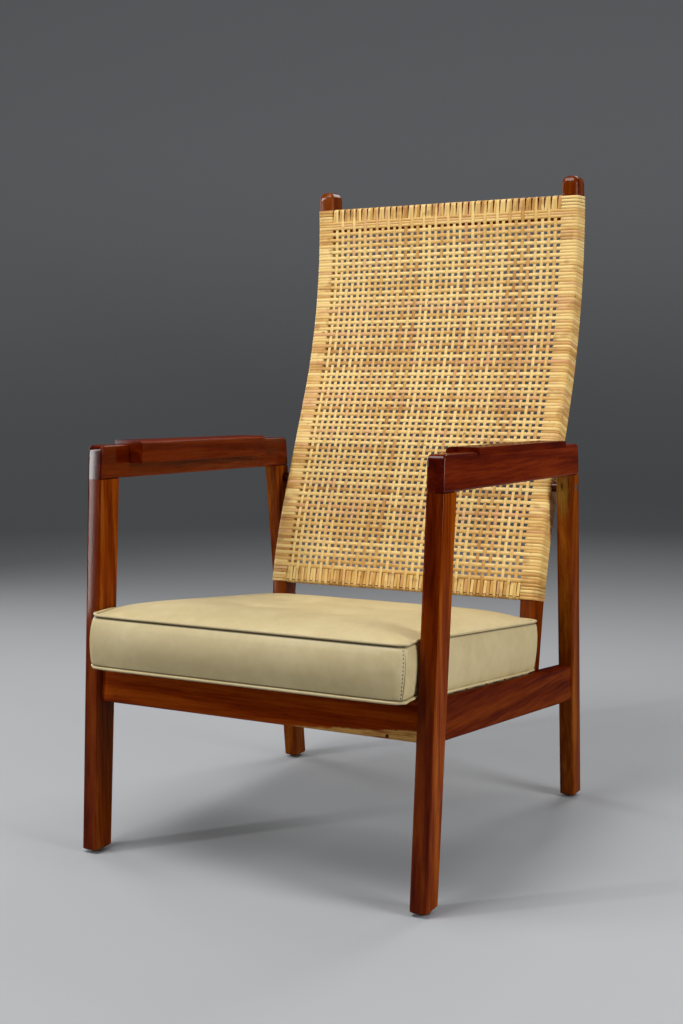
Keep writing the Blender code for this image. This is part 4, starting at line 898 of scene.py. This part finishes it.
def seam_distance(point):
    """How far a point is from what holds the leather: the seams, the sewn tufts and the seat below."""
    local = point - CUSHION_ORIGIN
    along = local.y * cos(SEAT_SLOPE) - local.z * sin(SEAT_SLOPE)
    up = local.y * sin(SEAT_SLOPE) + local.z * cos(SEAT_SLOPE)
    up += FRONT_DROOP * eased(-along, DROOP_FROM, DROOP_TO)
    if up < 0.004:
        return 0.0
    side = min(HALF_WIDTH + 0.004 - abs(local.x), HALF_DEPTH + (OVERHANG if along < 0 else 0.0) - abs(along))
    nearest = min(Vector((side, up - BOXING)).length, Vector((side, up)).length)
    for x, y in TUFTS:
        if up > BOXING / 2:
            nearest = min(nearest, Vector((local.x - x, along - y)).length)
    return nearest


voxels = cushion_case.modifiers.new("voxels", "REMESH")
voxels.mode = "VOXEL"
voxels.voxel_size = 0.0058
graph = bpy.context.evaluated_depsgraph_get()
case_mesh = bpy.data.meshes.new_from_object(cushion_case.evaluated_get(graph))
cushion_case.modifiers.remove(voxels)
cushion_case.data = case_mesh
rest = [v.co.copy() for v in case_mesh.vertices]
loose = [eased(seam_distance(point), 0.004, 0.030) for point in rest]
held = cushion_case.vertex_groups.new(name="held")
for i, share in enumerate(loose):
    held.add([i], 1 - share, "REPLACE")
stuffing = cushion_case.modifiers.new("stuffing", "CLOTH")
stuffing.settings.quality = 4
stuffing.settings.use_pressure = True
stuffing.settings.uniform_pressure_force = 4.0
stuffing.settings.effector_weights.gravity = 0.0
stuffing.settings.vertex_group_mass = "held"
stuffing.settings.shrink_min = 0.0
stuffing.settings.bending_stiffness = 4.0
for number in range(1, STUFFING_FRAMES + 1):
    scene.frame_set(number)
ready = cushion_case.evaluated_get(bpy.context.evaluated_depsgraph_get()).data
puffed = [v.co.copy() for v in ready.vertices]
cushion_case.modifiers.remove(stuffing)
scene.frame_set(1)
for vertex, was, now, share in zip(case_mesh.vertices, rest, puffed, loose):
    move = (now - was) * share
    most = MOST_SIDE_SWELL if abs(was.x) > 0.243 or was.y > 0.120 else MOST_SWELL
    vertex.co = was + (move * (most / move.length) if move.length > most else move)
    if vertex.co.y < AHEAD_OF_LEGS:
        vertex.co.x = min(max(vertex.co.x, -WIDEST_AHEAD), WIDEST_AHEAD)
cushion_case.vertex_groups.clear()
for polygon in case_mesh.polygons:
    polygon.use_smooth = True
case_mesh.materials.clear()
case_mesh.materials.append(leather)
finer = cushion_case.modifiers.new("finer", "SUBSURF")
finer.levels = finer.render_levels = 1
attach(cushion_case, "cushion")
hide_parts("seat_cushion")

welt_tree = bpy.data.node_groups.new("sewn welt", "GeometryNodeTree")
given = tree_inputs(welt_tree, {"Path": "object", "Radius": "float", "Pucker": "float",
                                "Material": "material"})
tree = Wire(welt_tree)
swell = noise(tree, tree.put("GeometryNodeInputPosition"), 90.0, 2.0)
swell = 1.0 + (swell - 0.5) * given["Pucker"]
ring = tree.put("GeometryNodeCurvePrimitiveCircle", {"mode": "RADIUS"},
                {"Resolution": 10, "Radius": given["Radius"]})
closing(tree, swept(tree, line_of(tree, given["Path"]), ring, swell), given["Material"])


def welt_line(height):
    """The seam at one height, a little outside the leather and drawn in at the corners."""
    points = []
    for a, b in edge_round(WELT_STEPS):
        across_at, along_at = plan(a, b, WELT_INSET * abs(a * b) ** 8)
        outward = Vector((a * abs(a) ** 23, b * abs(b) ** 23)).normalized() * WELT_STAND
        points.append(on_seat(across_at + outward.x, along_at + outward.y, height))
    return points


for name, height in (("top", BOXING), ("bottom", WELT_RADIUS)):
    line = guide(name + "_welt_line", welt_line(height), closed=True)
    welt = grown(f"cushion_{name}_welt", welt_tree,
                 {"Path": line, "Radius": WELT_RADIUS, "Pucker": 0.16, "Material": leather})
    bpy.data.objects.remove(line)
    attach(welt, "cushion")
    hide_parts(f"cushion_{name}_piping")


stitch_tree = bpy.data.node_groups.new("thread stitches", "GeometryNodeTree")
given = tree_inputs(stitch_tree, {"Path": "object", "Spacing": "float", "Length": "float",
                                  "Thread radius": "float", "Material": "material"})
tree = Wire(stitch_tree)
spots = tree.put("GeometryNodeCurveToPoints", {"mode": "LENGTH"},
                 {"Curve": line_of(tree, given["Path"]), "Length": given["Spacing"]})
tip = joined(tree, z=given["Length"] * 0.5)
thread = tree.put("GeometryNodeCurvePrimitiveLine", {},
                  {"Start": tree.vector("MULTIPLY", tip, (-1.0, -1.0, -1.0)), "End": tip})
thread = tree.put("GeometryNodeResampleCurve", {}, {"Curve": thread, "Count": 5})
part_way = tree.put("GeometryNodeSplineParameter", out="Factor")
taper = 0.35 + 2.6 * part_way * (1.0 - part_way)
ring = tree.put("GeometryNodeCurvePrimitiveCircle", {"mode": "RADIUS"},
                {"Resolution": 6, "Radius": given["Thread radius"]})
thread = swept(tree, thread, ring, taper)
row = tree.put("GeometryNodeInstanceOnPoints", {},
               {"Points": spots, "Instance": thread, "Rotation": spots.output("Rotation")})
closing(tree, row, given["Material"])

linen, shader, start = finish_of("linen_thread")
twist = start.put("ShaderNodeTexWave", {"bands_direction": "DIAGONAL"},
                  {"Vector": object_place(start), "Scale": 900.0})
feed(shader, mixed(start, twist, *LINEN_SHADES), "Base Color")
feed(shader, 0.6 + 0.2 * twist, "Roughness")

skin = BVHTree.FromObject(cushion_case, bpy.context.evaluated_depsgraph_get())


def down_corner(angle, stand):
    """A line down the rounded front corner of the boxing, standing so far off the leather; angle 0 faces
    the sitter's left and 90 the front."""
    points = []
    centre = Vector(plan(1, -1)) - CORNER_RADIUS * Vector((cos(pi / 4), -sin(pi / 4)))
    clear = centre + 0.05 * Vector((cos(radians(angle)), -sin(radians(angle))))
    for i in range(15):
        up = BOXING * (0.955 - 0.91 * i / 14)
        inside, outside = on_seat(*centre, up), on_seat(*clear, up)
        spot, normal, _, _ = skin.ray_cast(outside, (inside - outside).normalized())
        points.append(spot + stand * normal)
    return points


SEAM_ANGLE, STITCH_ANGLE = 30.0, 43.0
lap_line = guide("boxing_lap_line", down_corner(SEAM_ANGLE, -0.0003))
lap = grown("cushion_boxing_lap", welt_tree,
            {"Path": lap_line, "Radius": 0.0016, "Pucker": 0.3, "Material": leather})
stitch_line = guide("boxing_stitch_line", down_corner(STITCH_ANGLE, 0.0001))
stitches = grown("cushion_boxing_stitches", stitch_tree,
                 {"Path": stitch_line, "Spacing": 0.0048, "Length": 0.0034, "Thread radius": 0.00062,
                  "Material": linen})
for line in (lap_line, stitch_line):
    bpy.data.objects.remove(line)
for piece in (lap, stitches):
    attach(piece, "cushion")


# Small fittings: steel bolts through turned wooden spacers hold the back to the rear legs and side rails.
# Beech dowels hold the arm pads, and a plastic glide is nailed under each foot.

STEEL_SHADES = (0.22, 0.18, 0.12), (0.36, 0.30, 0.20)
PLASTIC_SHADES = (0.055, 0.038, 0.026), (0.10, 0.075, 0.055)
BEECH_SHADES = (0.52, 0.32, 0.16), (0.66, 0.45, 0.26)

steel = worn("dull_steel", STEEL_SHADES, 420.0, 3.0, (0.34, 0.24), stretch=(1, 1, 9), metal=1.0)
beech = worn("dowel_beech", BEECH_SHADES, 500.0, 3.0, (0.5, 0.2), stretch=(1, 1, 0.1))
plastic = worn("glide_plastic", PLASTIC_SHADES, 260.0, 4.0, (0.38, 0.3), relief=0.2)
# The spacers' very dark tone is painted shade: they sit in the dark gap between stile and rear leg.
spacer_painted_shade = timber("back_spacer_painted_shade", GRAIN_X, (7.3, 0.5, 0.9), (0.18, 0.7))
for side in ("left", "right"):
    for node in ("upper_back_bolt", "lower_back_bolt"):
        dressed(f"{side}_{node}", steel, "_steel", 42)
    for node in ("upper_back_spacer", "lower_back_spacer"):
        dressed(f"{side}_{node}", spacer_painted_shade, "_wood", 42)
    for node in ("front_glide", "rear_glide"):
        dressed(f"{side}_{node}", plastic, "_plastic", 42)
    for node in ("front_pad_dowel", "rear_pad_dowel"):
        dressed(f"{side}_{node}", beech, "_beech", 42)
